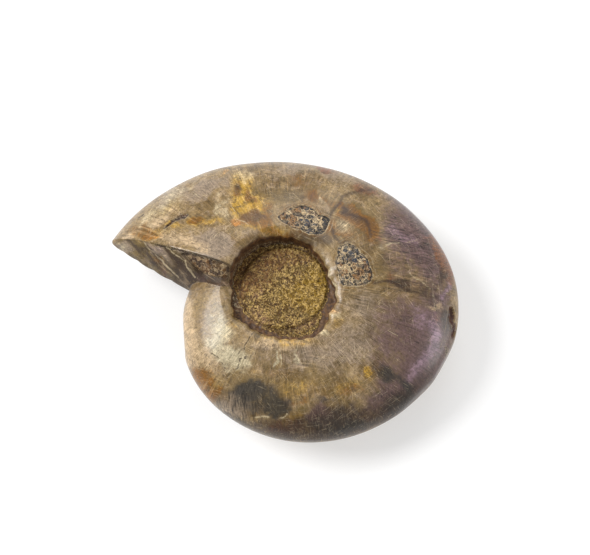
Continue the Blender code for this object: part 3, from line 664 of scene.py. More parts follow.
# --- Seeds of what is uneven ---
TABLE_WIDTH = 64  # random numbers repeat after this many cells
LEDGE_SEED = 10
CRUST_SEED, COARSE_SEED = 7, 12
WINDOW_SEED, LIP_SEED = 17, 27
STAIN_SEED, UNDER_STAIN_SEED, LINE_SEED = 47, 57, 67

# --- Camera and light ---
CAMERA_TILT = 20.0  # of the line of sight from the coil's axis
CAMERA_DISTANCE = 0.8
PIXEL = 0.2817 * MM  # what a pixel of the render covers at the coil's middle plane
RENDER_WIDTH, RENDER_HEIGHT = 590, 555
AXIS_X, AXIS_Y = 283.0, 304.0  # where the coil's axis falls in the render, in pixels
SENSOR_WIDTH = 36
CLIP_NEAR, CLIP_FAR = 0.01, 10
# From the coil to each light
KEY_TOWARD = (-0.74, 0.2, 0.64)
FILL_TOWARD = (0.93, -0.02, 0.3)
BACK_TOWARD = (0.1, 0.75, 0.65)


def rgb(red, green, blue):
    """A screen colour, 0 to 255, as the linear colour that Blender works in."""
    shares = (value / 255 for value in (red, green, blue))
    return tuple(v / 12.92 if v <= 0.04045 else ((v + 0.055) / 1.055) ** 2.4 for v in shares)


def colour_property(name, description, default):
    return bpy.props.FloatVectorProperty(
        name=name, description=description, subtype="COLOR", size=3, min=0, max=1, default=default
    )


def length_property(name, description, default, least=0.0, precision=4):
    """A length whose default and least value are given in mm."""
    return bpy.props.FloatProperty(
        name=name,
        description=description,
        default=default * MM,
        min=least * MM,
        precision=precision,
        unit="LENGTH",
    )


def strength_property(name, description, default):
    return bpy.props.FloatProperty(name=name, description=description, default=default, min=0.0)


# --- The form of the coil ---


def turned(angle, distance):
    """A point at this distance from the axis, in degrees round it."""
    return distance * np.cos(np.radians(angle)), distance * np.sin(np.radians(angle))


def smooth(value):
    """Eases 0 to 1."""
    value = np.clip(value, 0, 1)
    return value * value * (3 - 2 * value)


def through(values, place):
    """A smooth curve through evenly spaced values, at a place counted in steps."""
    values = np.array([2 * values[0] - values[1], *values, 2 * values[-1] - values[-2]])
    cell = np.clip(np.floor(place).astype(int), 0, len(values) - 4)
    f = place - cell
    before, start, end, after = (values[cell + k] for k in range(4))
    bend = 2 * before - 5 * start + 4 * end - after
    return start + 0.5 * f * (end - before + f * (bend + f * (3 * start - before - 3 * end + after)))


def venter_radius(growth):
    """From the axis to the venter."""
    return through(VENTER_RADII, growth / VENTER_STEP)


def half_thickness(growth, side):
    """From the middle plane to the crest of the upper flank, side 1, or of the lower one, side -1."""
    at_lip = HALF_THICKNESS_LIP if side > 0 else HALF_THICKNESS_LIP_UNDER
    return HALF_THICKNESS_START * (at_lip / HALF_THICKNESS_START) ** (growth / 360)


def round_axis(values, angle, side):
    """One of the umbilicus outlines at an angle."""
    angle = angle if side > 0 else angle + UNDERSIDE_TURN
    return np.interp(angle % 360, np.arange(len(values) + 1) * OUTLINE_STEP, [*values, values[0]])


def edge_radius(angle, side):
    """From the axis to the ragged edge of the umbilicus."""
    ragged = sum(np.sin(count * np.radians(angle) + start) for count, start in RAGGED_WAVES)
    return round_axis(EDGE_RADII, angle, side) + RAGGED * ragged


def crust_radius(angle, side):
    """From the axis to the border of the crystals."""
    return edge_radius(angle, side) - round_axis(LEDGE_WIDTHS, angle, side)


def unevenness(x, y, side):
    """Slight waves that keep the polished flanks from being exact."""
    waves = (np.sin(a * x + b * y + start + turn * side) for a, b, start, turn in UNEVEN_WAVES)
    return UNEVENNESS * sum(waves)


def flank_height(growth, share, side):
    """Height of a flank, a share of the way from its crest to the venter."""
    share = np.clip(share, 0, 1)
    return half_thickness(growth, side) * (1 - share**VENTER_POWER) ** VENTER_FULLNESS


def face_advance(kind, share):
    """How far past the lip, in growth, a row of the face meets the whorl that the lip wraps."""
    share = share if kind == "flank" else 0.0
    return FACE_ADVANCE_VENTER + (FACE_ADVANCE_CREST - FACE_ADVANCE_VENTER) * (1 - share) ** 2


def lip_growth(kind, share, side):
    """The growth at which a row ends at the lip."""
    share = share if kind == "flank" else 0.0
    return 360 if side > 0 else 360 - LIP_LAG * (1 - share)


def keel_shift(growth, share):
    """How far the venter sags below the middle plane near the lip."""
    return KEEL_SHIFT * share**2 * smooth((growth - 360 + KEEL_BENDS) / KEEL_BENDS)


def shape(kind, share, growth, angle, side):
    """Radius and height of one row of the section, for a whorl of this growth at an angle round the axis."""
    half = half_thickness(growth, side)
    edge = edge_radius(angle, side)
    crust = crust_radius(angle, side)
    if kind == "floor":
        return crust * share, HOLLOW_FLOOR + 0 * angle
    if kind == "ledge":
        radius = crust + share * (edge - EDGE_BATTER - crust)
        return radius, CRUST_LEVEL + CRUST_SLOPE * turned(angle, radius)[0] - LEDGE_DROP
    if kind == "shoulder":
        quarter = math.pi / 2 * share
        radius = CREST_RADIUS - (CREST_RADIUS - edge) * math.cos(quarter)
        return radius, half * (1 - EDGE_DROP_SHARE * (1 - math.sin(quarter)))
    return CREST_RADIUS + share * (venter_radius(growth) - CREST_RADIUS), flank_height(growth, share, side)


def section_rows(flank_steps):
    """Rows of a half section from the axis to the venter, those of the flank evenly spaced along it."""
    rows = [("floor", 0.0), ("floor", 0.5), ("floor", 1.0)]
    rows += [("ledge", step / LEDGE_STEPS) for step in range(LEDGE_STEPS + 1)]
    rows += [("shoulder", step / SHOULDER_STEPS) for step in range(SHOULDER_STEPS + 1)]
    share = 1 - (1 - np.linspace(0, 1, SPACING_STEPS)) ** 3
    across = share * (venter_radius(SPACING_GROWTH) - CREST_RADIUS)
    up = flank_height(SPACING_GROWTH, share, 1)
    along = np.concatenate([[0], np.cumsum(np.hypot(np.diff(across), np.diff(up)))])
    even = np.interp(np.linspace(0, along[-1], flank_steps + 1)[1:], along, share)
    return rows + [("flank", float(value)) for value in even]


def half_section(rows, growth, angle, side):
    """Points of the rows of one flank, at a growth and an angle for each."""
    points = []
    for (kind, share), row_growth, row_angle in zip(rows, growth, angle):
        radius, height = shape(kind, share, row_growth, row_angle, side)
        x, y = turned(row_angle, radius)
        if kind in ("shoulder", "flank"):
            height = height + unevenness(x, y, side) * smooth(height / UNEVEN_ABOVE)
        shift = keel_shift(row_growth, share) if kind == "flank" else 0.0
        points.append(np.stack([x, y, side * height - shift], axis=-1))
    return np.array(points)


def whole_section(upper, lower):
    """The rows of the upper half section, then those of the lower one from the venter back to the axis."""
    return np.concatenate([upper, lower[-2::-1]])


def ground(section, growth):
    """Grinds the venter down to its flats."""
    for middle, direction, distance in VENTER_FLATS:
        normal = np.array([*turned(direction, 1.0), 0.0])
        near = smooth((FLAT_REACH - np.abs(growth - middle)) / FLAT_FADE)
        over = section @ normal - distance
        beyond = 0.5 * (over + np.hypot(over, FLAT_SOFTNESS)) * near
        section = section - beyond[..., None] * normal
    return section


def face_point(kind, share, across, back, side):
    """Points of the stone face: across runs from the lip, 0, to the inner whorl, 1, and back into it."""
    lip = lip_growth(kind, share, side)
    span = lip + (360 + face_advance(kind, share) - lip) * across
    venter = VENTER_RADII[-1] + across * (VENTER_RADII[0] - VENTER_RADII[-1])
    beyond_crest = share * (venter - CREST_RADIUS) if kind == "flank" else 0.0
    angle = LIP_ANGLE + span - np.degrees(back / (CREST_RADIUS + beyond_crest))
    outer_radius, outer_height = shape(kind, share, np.array(lip), angle, side)
    inner_radius, inner_height = shape(kind, share, span - 360, angle, side)
    radius = outer_radius + across * (inner_radius - outer_radius)
    height = outer_height + across * (inner_height - outer_height)
    shift = (1 - across) * keel_shift(lip, share) if kind == "flank" else 0.0
    x, y = turned(angle, radius)
    if kind in ("shoulder", "flank"):
        height = height + unevenness(x, y, side) * smooth(height / UNEVEN_ABOVE)
    return np.stack([x, y, side * height - shift], axis=-1)


def face_depth(share, across, side):
    """How far the face lies behind the plain surface from the lip to the inner whorl."""
    rise = np.sin(math.pi * np.clip(across, 0, 1)) ** FACE_ROUNDING
    radius = CREST_RADIUS + share * (1 - across) * (VENTER_RADII[-1] - CREST_RADIUS)
    height = side * flank_height(360 - 360 * across, share, side)
    band = (radius - FACE_BAND_LEAN * height) / FACE_BAND_SPACING
    ridge = 1 - 2 * np.abs(np.sin(math.pi * band))
    under = FACE_RECESS_UNDER - FACE_RECESS if side < 0 else 0.0
    return rise * (FACE_RECESS + under * (1 - share**2) + FACE_BAND_HEIGHT * ridge * smooth(4 * share))


def squareness(u, v):
    """Distance from the middle of a square with rounded corners, 1 on its border."""
    power = LIP_POCKET_SQUARENESS
    return (np.abs(u) ** power + np.abs(v) ** power) ** (1 / power)


def lip_pocket_place(kind, share, across):
    """How far out a point of the face lies in the hollow near the umbilicus: 1 on its rim."""
    if kind == "flank":
        along = share * (VENTER_RADII[-1] - CREST_RADIUS)
    else:
        along = (share - 1) * SHOULDER_LENGTH
    u = (along - LIP_POCKET_MIDDLE[0]) / LIP_POCKET_HALF[0]
    return squareness(u, (across - LIP_POCKET_MIDDLE[1]) / LIP_POCKET_HALF[1])


def face_rows(rows, across, side):
    """The stone face as rows of points, with its hollow for crystals in the upper half."""
    points = []
    for kind, share in rows:
        flank_share = share if kind == "flank" else 0.0
        deep = np.where(across < FACE_RIM, 0.0, face_depth(flank_share, across, side))
        if kind in ("floor", "ledge"):
            deep = 0 * across
        elif side > 0:
            inside = lip_pocket_place(kind, share, across)
            deep = deep + (LIP_POCKET_DEPTH + GAP) * smooth((1 - inside) / LIP_POCKET_WALL)
        points.append(face_point(kind, share, across, deep, side))
    return np.array(points)


def window_place(outline, x, y):
    """How far out points lie in a window, 1 on its rim, with its reach and turn there, and its middle."""
    points = np.array(outline)
    middle = points.mean(axis=0)
    out = points - middle
    turn = np.degrees(np.arctan2(out[:, 1], out[:, 0])) % 360
    order = np.argsort(turn)
    angle = np.degrees(np.arctan2(y - middle[1], x - middle[0])) % 360
    reach = np.interp(angle, turn[order], np.hypot(*out.T)[order], period=360)
    return np.hypot(x - middle[0], y - middle[1]) / reach, reach, middle


def surface_height(x, y):
    """Height of the polished upper flank over a point."""
    radius, angle = np.hypot(x, y), np.degrees(np.arctan2(y, x))
    growth = (angle - LIP_ANGLE) % 360
    share = (radius - CREST_RADIUS) / (venter_radius(growth) - CREST_RADIUS)
    edge = edge_radius(angle, 1)
    inward = np.clip((CREST_RADIUS - radius) / (CREST_RADIUS - edge), 0, 1)
    drop = EDGE_DROP_SHARE * half_thickness(growth, 1) * (1 - np.sqrt(1 - inward**2))
    bent = keel_shift(growth, np.clip(share, 0, 1))
    return flank_height(growth, share, 1) - drop - bent + unevenness(x, y, 1)


def sink_windows(points, upper):
    """Lets the crystal windows into the upper flank, with a clean rim."""
    for outline in POCKETS.values():
        share, reach, middle = window_place(outline, points[..., 0], points[..., 1])
        off = np.abs(share - 1) * reach
        snap = upper & (off < RIM_SNAP)
        drawn = middle + (points[..., :2] - middle) / np.maximum(share, TINY)[..., None]
        points[..., :2] = np.where(snap[..., None], drawn, points[..., :2])
        inside = upper & ~snap & (share < 1)
        points[..., 2] = points[..., 2] - np.where(inside, POCKET_DEPTH + GAP, 0.0)
    return points


def sink_chips(points, normals):
    """Pushes the surface back to the far side of each chip's flattened ball."""
    for middle, half_sizes, turn in CHIPS.values():
        x, y = middle
        height = surface_height(np.array([x]), np.array([y]))[0]
        axes = np.array(Matrix.Rotation(math.radians(turn), 3, "Z")) / np.array(half_sizes)
        start = (points - (x, y, height)) @ axes
        ray = -normals @ axes
        a, b, c = (ray * ray).sum(-1), (start * ray).sum(-1), (start * start).sum(-1) - 1
        root = np.sqrt(np.clip(b * b - a * c, 0, None))
        push = np.where(c < 0, (root - b) / np.maximum(a, TINY), 0.0)
        points = points - np.clip(push, 0, max(half_sizes))[..., None] * normals
    return points


def outward(points):
    """Outward normals of a grid of points, rows down and columns round."""
    down = np.gradient(points, axis=0)
    round_ = np.roll(points, -1, axis=1) - np.roll(points, 1, axis=1)
    normals = np.cross(down, round_)
    length = np.linalg.norm(normals, axis=-1, keepdims=True)
    return normals / np.maximum(length, TINY)


def lean():
    """The turn that lays the coil on its lower flank."""
    return Matrix.Rotation(math.radians(LEAN_Y), 3, "Y") @ Matrix.Rotation(math.radians(LEAN_X), 3, "X")


def laid_down(points):
    """Points of the coil, in mm, as places in the frame, in metres."""
    placed = points @ np.array(lean()).T + (*CENTRE, LIFT)
    placed[:, 2] = np.maximum(placed[:, 2], 0.0)
    low, high = (np.array(corner) for corner in CAD_BOX)
    return np.clip(placed * MM, low, high)


# --- Paint laid on as values of the corners ---


def paint_plane(points, under):
    """Where points fall on the plane that stains are laid out on. The lower flank has it turned."""
    lean = math.radians(PAINT_LEAN)
    x, y, z = points[..., 0], points[..., 1], points[..., 2]
    if under:
        turn = math.radians(UNDERSIDE_TURN)
        return x * math.cos(turn) + y * math.sin(turn), x * math.sin(turn) - y * math.cos(turn)
    return x, y * math.cos(lean) + z * math.sin(lean)


def drift(x, y, size, seed):
    """Smooth unevenness from -1 to 1, in waves about this many mm wide."""
    table = np.random.default_rng(seed).uniform(-1, 1, (TABLE_WIDTH, TABLE_WIDTH))
    left, low = np.floor(x / size).astype(int), np.floor(y / size).astype(int)
    u, v = smooth(x / size - left), smooth(y / size - low)
    left, right = left % TABLE_WIDTH, (left + 1) % TABLE_WIDTH
    rows = (low % TABLE_WIDTH, (low + 1) % TABLE_WIDTH)
    near, far = (table[left, row] * (1 - u) + table[right, row] * u for row in rows)
    return near * (1 - v) + far * v


def wandering(x, y, reach, seed):
    """Points moved about unevenly, so that what is laid out on them gets ragged borders."""
    moved = []
    for axis, start in enumerate((x, y)):
        waves = (share * drift(x, y, size, seed + axis) for size, share in WANDER_WAVES)
        moved.append(start + reach * sum(waves))
    return moved


def stained(stains, x, y):
    """How strongly a group of stains shows at each point."""
    clear = np.ones_like(x)
    for middle_x, middle_y, half_length, half_width, turn, strength in stains.values():
        turn = math.radians(turn)
        along = (x - middle_x) * math.cos(turn) + (y - middle_y) * math.sin(turn)
        aside = (y - middle_y) * math.cos(turn) - (x - middle_x) * math.sin(turn)
        away = np.hypot(along / half_length, aside / half_width)
        clear *= 1 - strength * (1 - smooth((away - STAIN_HEART) / STAIN_FADE))
    return 1 - clear


def line_distance(lines, x, y):
    """Distance from the nearest line's edge, negative inside it."""
    nearest = np.full_like(x, LINE_REACH)
    for half_width, points in lines.values():
        for (start_x, start_y), (end_x, end_y) in zip(points, points[1:]):
            run_x, run_y = end_x - start_x, end_y - start_y
            share = ((x - start_x) * run_x + (y - start_y) * run_y) / (run_x**2 + run_y**2)
            share = np.clip(share, 0, 1)
            away = np.hypot(x - start_x - share * run_x, y - start_y - share * run_y)
            nearest = np.minimum(nearest, away - half_width)
    return nearest


# --- Meshes ---


def mesh_piece(name, points, faces, material, values, sharp):
    """A closed piece in the frame, from points of the coil in mm. values are kept on its corners by name."""
    mesh = bpy.data.meshes.new(name)
    mesh.from_pydata(laid_down(points).tolist(), [], faces)
    for label, numbers in values.items():
        vector = numbers.ndim == 2
        layer = mesh.attributes.new(label, "FLOAT_VECTOR" if vector else "FLOAT", "POINT")
        layer.data.foreach_set("vector" if vector else "value", numbers.astype(np.float32).ravel())
    mesh.validate()
    mesh.shade_smooth()
    mesh.set_sharp_from_angle(angle=math.radians(sharp))
    mesh.materials.append(material)
    piece = bpy.data.objects.new(name, mesh)
    bpy.context.scene.collection.objects.link(piece)
    if not mesh.polygons:
        raise RuntimeError(f"{name} has no faces")
    return piece


def stand_for(piece, node):
    """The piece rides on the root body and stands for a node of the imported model."""
    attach(piece, "root")
    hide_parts(node)


def coil_faces(rows, columns):
    """Faces of rows of corners that close round, between a first and a last corner on the axis."""
    last = 1 + rows * columns
    faces = []
    for column in range(columns):
        after = (column + 1) % columns
        faces.append((0, 1 + column, 1 + after))
        for row in range(rows - 1):
            here, below = 1 + row * columns, 1 + (row + 1) * columns
            faces.append((here + column, below + column, below + after, here + after))
        faces.append((last - columns + column, last, last - columns + after))
    return faces


def disc_grid(cells):
    """Points of a square grid spread over a unit disc: angle in degrees, and share of the way out."""
    line = np.linspace(-1, 1, cells + 1)
    u, v = (part.ravel() for part in np.meshgrid(line, line))
    wide = np.abs(u) >= np.abs(v)
    share = np.where(wide, u, v)
    safe = np.where(share == 0, 1, share)
    angle = np.where(wide, 45 * v / safe, 90 - 45 * u / safe)
    return np.where(share < 0, angle + 180, angle), np.abs(share)


def disc_faces(cells, up):
    """Faces of a closed disc: the grid on top, its border down to the base, and the base as one face."""
    wide = cells + 1
    corners = [row * wide + column for row in range(cells) for column in range(cells)]
    top = [(corner, corner + 1, corner + wide + 1, corner + wide) for corner in corners]
    border = list(range(wide))
    border += [row * wide + cells for row in range(1, wide)]
    border += [cells * wide + column for column in range(cells - 1, -1, -1)]
    border += [row * wide for row in range(cells - 1, 0, -1)]
    under = [wide * wide + place for place in range(len(border))]
    pairs = zip(border, border[1:] + border[:1], under, under[1:] + under[:1])
    faces = top + [(b, a, low_a, low_b) for a, b, low_a, low_b in pairs] + [tuple(reversed(under))]
    return border, faces if up else [tuple(reversed(face)) for face in faces]


def grains(x, y, size, seed):
    """Height of faceted grains side by side over each point."""
    # of the six numbers drawn for a grain, the last is spare
    table = np.random.default_rng(seed).uniform(-1, 1, (TABLE_WIDTH, TABLE_WIDTH, 6))
    column, row = np.floor(x / size).astype(int), np.floor(y / size).astype(int)
    best = np.full(x.shape, -np.inf)
    for aside in (-1, 0, 1):
        for ahead in (-1, 0, 1):
            cell = table[(column + aside) % TABLE_WIDTH, (row + ahead) % TABLE_WIDTH]
            off_x = x / size - (column + aside + 0.5 + GRAIN_JITTER * cell[..., 0])
            off_y = y / size - (row + ahead + 0.5 + GRAIN_JITTER * cell[..., 1])
            slope = cell[..., 2] * off_x + cell[..., 3] * off_y
            level = GRAIN_RISE * cell[..., 4] + GRAIN_SLOPE * slope - GRAIN_DOME * (off_x**2 + off_y**2)
            best = np.maximum(level, best)
    return best


def crystal_piece(name, points, base, cells, up, material, values, sharp):
    """A closed disc of crystals, whose border goes down to the base."""
    border, faces = disc_faces(cells, up)
    values = {label: np.concatenate([numbers, numbers[border]]) for label, numbers in values.items()}
    return mesh_piece(name, np.concatenate([points, base[border]]), faces, material, values, sharp)


# --- Shader maths ---


class Amount:
    """A socket that carries a number. Sums on it add Math nodes."""

    def __init__(self, finish, socket):
        self.finish, self.socket = finish, socket

    def math(self, operation, *operands):
        return self.finish.add("ShaderNodeMath", {"operation": operation}, dict(enumerate(operands)))

    def __add__(self, other):
        return self.math("ADD", self, other)

    def __radd__(self, other):
        return self.math("ADD", other, self)

    def __sub__(self, other):
        return self.math("SUBTRACT", self, other)

    def __rsub__(self, other):
        return self.math("SUBTRACT", other, self)

    def __mul__(self, other):
        return self.math("MULTIPLY", self, other)

    def __rmul__(self, other):
        return self.math("MULTIPLY", other, self)

    def __neg__(self):
        return self.math("MULTIPLY", self, -1.0)


def swing(*pairs, start=0):
    """Sums noises about their middle, each by its share."""
    return sum((share * (noise - 0.5) for share, noise in pairs), start)


class Finish:
    """A material's nodes, and in colour what has been laid on so far."""

    def __init__(self, name):
        self.material = bpy.data.materials.new(name)
        self.material.use_nodes = True
        self.tree = self.material.node_tree
        self.surface = self.tree.nodes["Principled BSDF"]
        self.colour = None

    def feed(self, socket, value):
        if isinstance(value, Amount):
            self.tree.links.new(value.socket, socket)
        elif socket.type == "RGBA" and len(value) == 3:
            socket.default_value = (*value, 1)
        else:
            socket.default_value = value

    def add(self, kind, settings=None, inputs=None, output=0):
        """A node of this kind: its settings first, then the values or links of its sockets."""
        node = self.tree.nodes.new(kind)
        for setting, value in (settings or {}).items():
            setattr(node, setting, value)
        for socket, value in (inputs or {}).items():
            self.feed(node.inputs[socket], value)
        return Amount(self, node.outputs[output])

    def place(self):
        """The surface's own place in mm."""
        return self.scaled(self.add("ShaderNodeTexCoord", output="Object"), 1 / MM)

    def scaled(self, vector, factor):
        """A colour or a place, all of it times a factor."""
        return self.add("ShaderNodeVectorMath", {"operation": "SCALE"}, {0: vector, "Scale": factor})

    def spun(self, vector, turn):
        """Places turned about the vertical."""
        inputs = {"Vector": vector, "Rotation": (0, 0, math.radians(turn))}
        return self.add("ShaderNodeMapping", None, inputs)

    def carried(self, label, output="Fac"):
        """A value kept on the corners."""
        return self.add("ShaderNodeAttribute", {"attribute_name": label}, output=output)

    def noise(self, vector, scale, detail, roughness=0.55, distortion=0.0):
        inputs = {"Vector": vector, "Scale": scale, "Detail": detail, "Roughness": roughness}
        inputs["Distortion"] = distortion
        return self.add("ShaderNodeTexNoise", {"noise_dimensions": "3D"}, inputs)

    def streaks(self, vector, stretch, noise):
        """Noise on places stretched along each axis."""
        return self.noise(self.add("ShaderNodeMapping", None, {"Vector": vector, "Scale": stretch}), *noise)

    def edges(self, vector, scale):
        """Distance from the borders of cells."""
        settings = {"feature": "DISTANCE_TO_EDGE"}
        return self.add("ShaderNodeTexVoronoi", settings, {"Vector": vector, "Scale": scale})

    def cells(self, vector, scale, *channels):
        """Cells with chance numbers of their own, one for each channel."""
        settings, inputs = {"feature": "F1"}, {"Vector": vector, "Scale": scale}
        drawn = {"Color": self.add("ShaderNodeTexVoronoi", settings, inputs, "Color")}
        return [self.add("ShaderNodeSeparateColor", None, drawn, channel) for channel in channels]

    def bent(self, vector, scale, reach):
        """Places shifted about unevenly."""
        settings, inputs = {"noise_dimensions": "3D"}, {"Vector": vector, "Scale": scale}
        waves = self.add("ShaderNodeTexNoise", settings, inputs, "Color")
        inputs = {0: waves, 1: (reach, reach, reach), 2: vector}
        return self.add("ShaderNodeVectorMath", {"operation": "MULTIPLY_ADD"}, inputs)

    def curls(self, vector, scale, half_width):
        """Thin curling lines, 1 on them."""
        level = self.noise(vector, scale, *CURL_NOISE) - 0.5
        level = self.add("ShaderNodeMath", {"operation": "ABSOLUTE"}, {0: level})
        return self.fade(level, 0.4 * half_width, 1.6 * half_width)

    def ease(self, value, low, high):
        """0 below low, 1 above high, eased between."""
        ends = {"Value": value, "From Min": low, "From Max": high}
        return self.add("ShaderNodeMapRange", {"interpolation_type": "SMOOTHSTEP"}, ends)

    def fade(self, value, low, high):
        """1 below low, 0 above high, eased between."""
        return 1 - self.ease(value, low, high)

    def mix(self, share, under, over, blend="MIX"):
        """Two colours mixed by a share."""
        settings = {"data_type": "RGBA", "blend_type": blend}
        return self.add("ShaderNodeMix", settings, {0: share, 6: under, 7: over}, 2)

    def lay(self, share, over):
        """Lays a colour over what the surface has so far."""
        self.colour = self.mix(share, self.colour, over)

    def bump(self, height, depth, strength, under=None):
        """A normal from heights, whose full range is depth in mm."""
        inputs = {"Strength": strength, "Distance": depth * MM, "Height": height}
        if under is not None:
            inputs["Normal"] = under
        return self.add("ShaderNodeBump", None, inputs)

    def set(self, **sockets):
        """Feeds the surface: base_color=... feeds Base Color."""
        for socket, value in sockets.items():
            self.feed(self.surface.inputs[socket.replace("_", " ").title().replace("Ior", "IOR")], value)
        return self.material


class ShellFinish(Finish):
    """Polished stone: stains broken up by clouds, growth striae, speckles, veins, cracks and scratches."""

    def __init__(self, look):
        super().__init__("polished shell stone")
        self.look, self.at, self.coil = look, self.place(), self.carried("coil", "Vector")
        fields = (CLOUD, PATCH, MOTTLE, GRAIN)
        self.cloud, self.patch, self.mottle, self.grain = (self.noise(self.at, *field) for field in fields)
        self.stria, self.fine_stria = (self.streaks(self.coil, *field) for field in (STRIA, FINE_STRIA))
        self.wobble = swing((0.45, self.cloud), (0.7, self.patch), (0.55, self.grain), (0.3, self.stria))
        self.torn = swing((0.55, self.grain), (0.5, self.patch))
        self.streaked = self.ease(self.cloud, 0.42, 0.6)
        self.stone()
        self.stains()
        self.shine()
        self.specks()
        hairs = self.hairs()
        crack, vein = self.damage()
        self.window_rims()
        face = self.mouth_face()
        self.umbilicus_wall()
        near_wall = self.ease(self.carried("wall"), -0.45, 0.3)
        dull = self.ease(self.wobble + 0.45, 0.2, 0.8)
        relief = self.bump(self.mottle + 0.6 * self.grain, 0.09, 0.7)
        relief = self.bump(self.stria + 0.6 * self.fine_stria, look.striae / MM, 0.6, relief)
        relief = self.bump(-(hairs * 0.35 + crack + 0.25 * vein), 0.16, 0.8, relief)
        self.set(
            base_color=self.colour,
            roughness=0.27 + 0.14 * dull + 0.10 * hairs + 0.2 * near_wall + 0.2 * crack + 0.3 * face,
            coat_weight=(0.3 - 0.28 * near_wall) * (1 - 0.9 * face),
            coat_roughness=0.16,
            specular_ior_level=0.34,
            normal=relief,
        )

    def stone(self):
        """Clouds in the bare stone."""
        self.colour = self.look.base
        self.lay(self.ease(swing((0.3, self.patch), start=self.cloud), 0.38, 0.64), self.look.base_deep)
        self.lay(0.5 * self.ease(self.patch, 0.5, 0.62), self.look.grey)
        tone = self.noise(self.at, *TONE)
        self.lay(0.5 * self.ease(tone, 0.52, 0.66), self.look.peach)
        self.lay(0.5 * self.ease(1 - tone, 0.52, 0.66), self.look.olive)

    def spread(self, label, reach, crisp):
        """How far a stain covers: a soft body, and a share of it with a ragged edge."""
        value = self.carried(label)
        body = self.ease(value * (1 + reach * self.wobble), 0.04, 0.9)
        ragged = swing((1.3, self.patch), (0.9, self.mottle), (0.5, self.stria))
        return (1 - crisp) * body + crisp * self.ease(value + ragged, 0.36, 0.6)

    def stains(self):
        """The stains, with streaks in the golden ones."""
        for label in STAIN_ORDER:
            crisp = 0.15 if label in SOFT_STAINS else 0.3
            self.lay(self.spread(label, 1.9, crisp), getattr(self.look, label))
        golden = self.ease(self.carried("gold"), 0.15, 0.6)
        self.lay(0.2 * golden * self.ease(self.stria, 0.5, 0.66), self.look.cream)
        self.lay(0.35 * golden * self.ease(1 - self.stria, 0.5, 0.66), self.look.ochre)
        self.lay(0.55 * golden * self.ease(1 - self.patch, 0.5, 0.62), self.look.olive)
        for label in DARK_AND_PALE_STAINS:
            self.lay(0.9 * self.spread(label, 2.3, 0.2), getattr(self.look, label))

    def shine(self):
        """Growth striae, mottle and grain, lighter and darker, each stronger in its own clouds."""
        streaked = self.streaked
        shine = swing(
            (0.9 + streaked, self.stria),
            (0.8 + 0.8 * streaked, self.fine_stria),
            (1.3, self.patch),
            (2.1 - 0.8 * streaked, self.mottle),
            (1.5, self.grain),
            start=1.0,
        )
        for label, turn in BRUSHING_TURNS.items():
            share = 3.4 * self.ease(self.carried(label) * (1 + self.wobble), 0.1, 0.9)
            shine = swing((share, self.streaks(self.spun(self.at, turn), *BRUSHING)), start=shine)
        self.colour = self.scaled(self.colour, shine)

    def specks(self):
        """Dark dots and pale flecks."""
        dots = self.ease(self.noise(self.at, *DOTS), 0.61, 0.67)
        self.lay(0.6 * dots * self.streaked, self.look.umber)
        flecks = self.streaks(self.spun(self.at, FLECKS_TURN), FLECKS_STRETCH, FLECKS)
        self.lay(0.4 * self.ease(flecks, 0.64, 0.72), self.look.cream)

    def hairs(self):
        """Hair scratches from the polishing: each lay of them shows in its own patches."""
        hairs = 0
        for turn, stretch, patch_turn in HAIR_LAYS:
            lay = self.coil if turn is None else self.spun(self.at, turn)
            hair = self.ease(self.streaks(lay, stretch, HAIR), 0.61, 0.67)
            patch = self.noise(self.spun(self.at, patch_turn), *HAIR_PATCH)
            hairs = hairs + hair * self.ease(patch, 0.49, 0.56)
        hairs = self.ease(hairs, 0.0, 1.0)
        self.lay(0.18 * hairs, self.look.cream)
        self.colour = self.scaled(self.colour, 1 + 0.55 * hairs)
        return hairs

    def damage(self):
        """Veins, chips, cracks with pale rims, and scratches."""
        cracks = self.carried("crack") + 1.8 * self.torn
        crack = self.fade(cracks, -0.08, 0.14)
        vein = self.fade(self.carried("vein") + 1.3 * self.torn, -0.3, 0.5)
        scratch = self.fade(self.carried("scratch") + 0.7 * self.torn, -0.14, 0.06)
        scratch = scratch * self.ease(swing((0.5, self.patch), start=self.mottle), 0.36, 0.5)
        chip = self.ease(self.carried("chip") + 1.9 * self.torn, 0.3, 0.55)
        self.lay(0.7 * vein, self.look.vein)
        self.lay(0.9 * chip, self.mix(self.ease(self.mottle, 0.5, 0.62), self.look.chip, self.look.ochre))
        self.lay(0.45 * (self.fade(cracks, 0.1, 0.4) * self.ease(self.grain, 0.47, 0.54)), self.look.cream)
        self.lay(0.85 * crack * self.ease(self.mottle, 0.42, 0.48), self.look.crack)
        self.lay(0.7 * scratch, self.look.cream)
        return crack, vein

    def window_rims(self):
        """Pale outlines round the windows of crystals, with ochre between them."""
        rim = self.carried("rim") + 0.6 * self.torn
        outer = self.ease(rim, 0.7, 0.95) * self.fade(rim, 0.95, 1.2) * self.ease(self.cloud, 0.5, 0.6)
        inner = self.fade(rim, 0.15, 0.4) * self.ease(self.patch, 0.42, 0.52)
        self.lay(0.7 * (inner + 0.5 * outer), self.look.cream)
        between = self.ease(rim, 0.35, 0.6) * self.fade(rim, 0.6, 0.95)
        self.lay(0.4 * between * self.ease(1 - self.patch, 0.42, 0.56), self.look.ochre)

    def mouth_face(self):
        """Streaks of the stone face behind the lip."""
        face = self.carried("face")
        streak = self.streaks(self.spun(self.at, FACE_STREAK_TURN), *FACE_STREAK)
        self.lay(0.4 * face * self.ease(streak, 0.52, 0.62), self.look.umber)
        self.lay(0.35 * face * self.ease(1 - streak, 0.54, 0.66), self.look.peach)
        return face

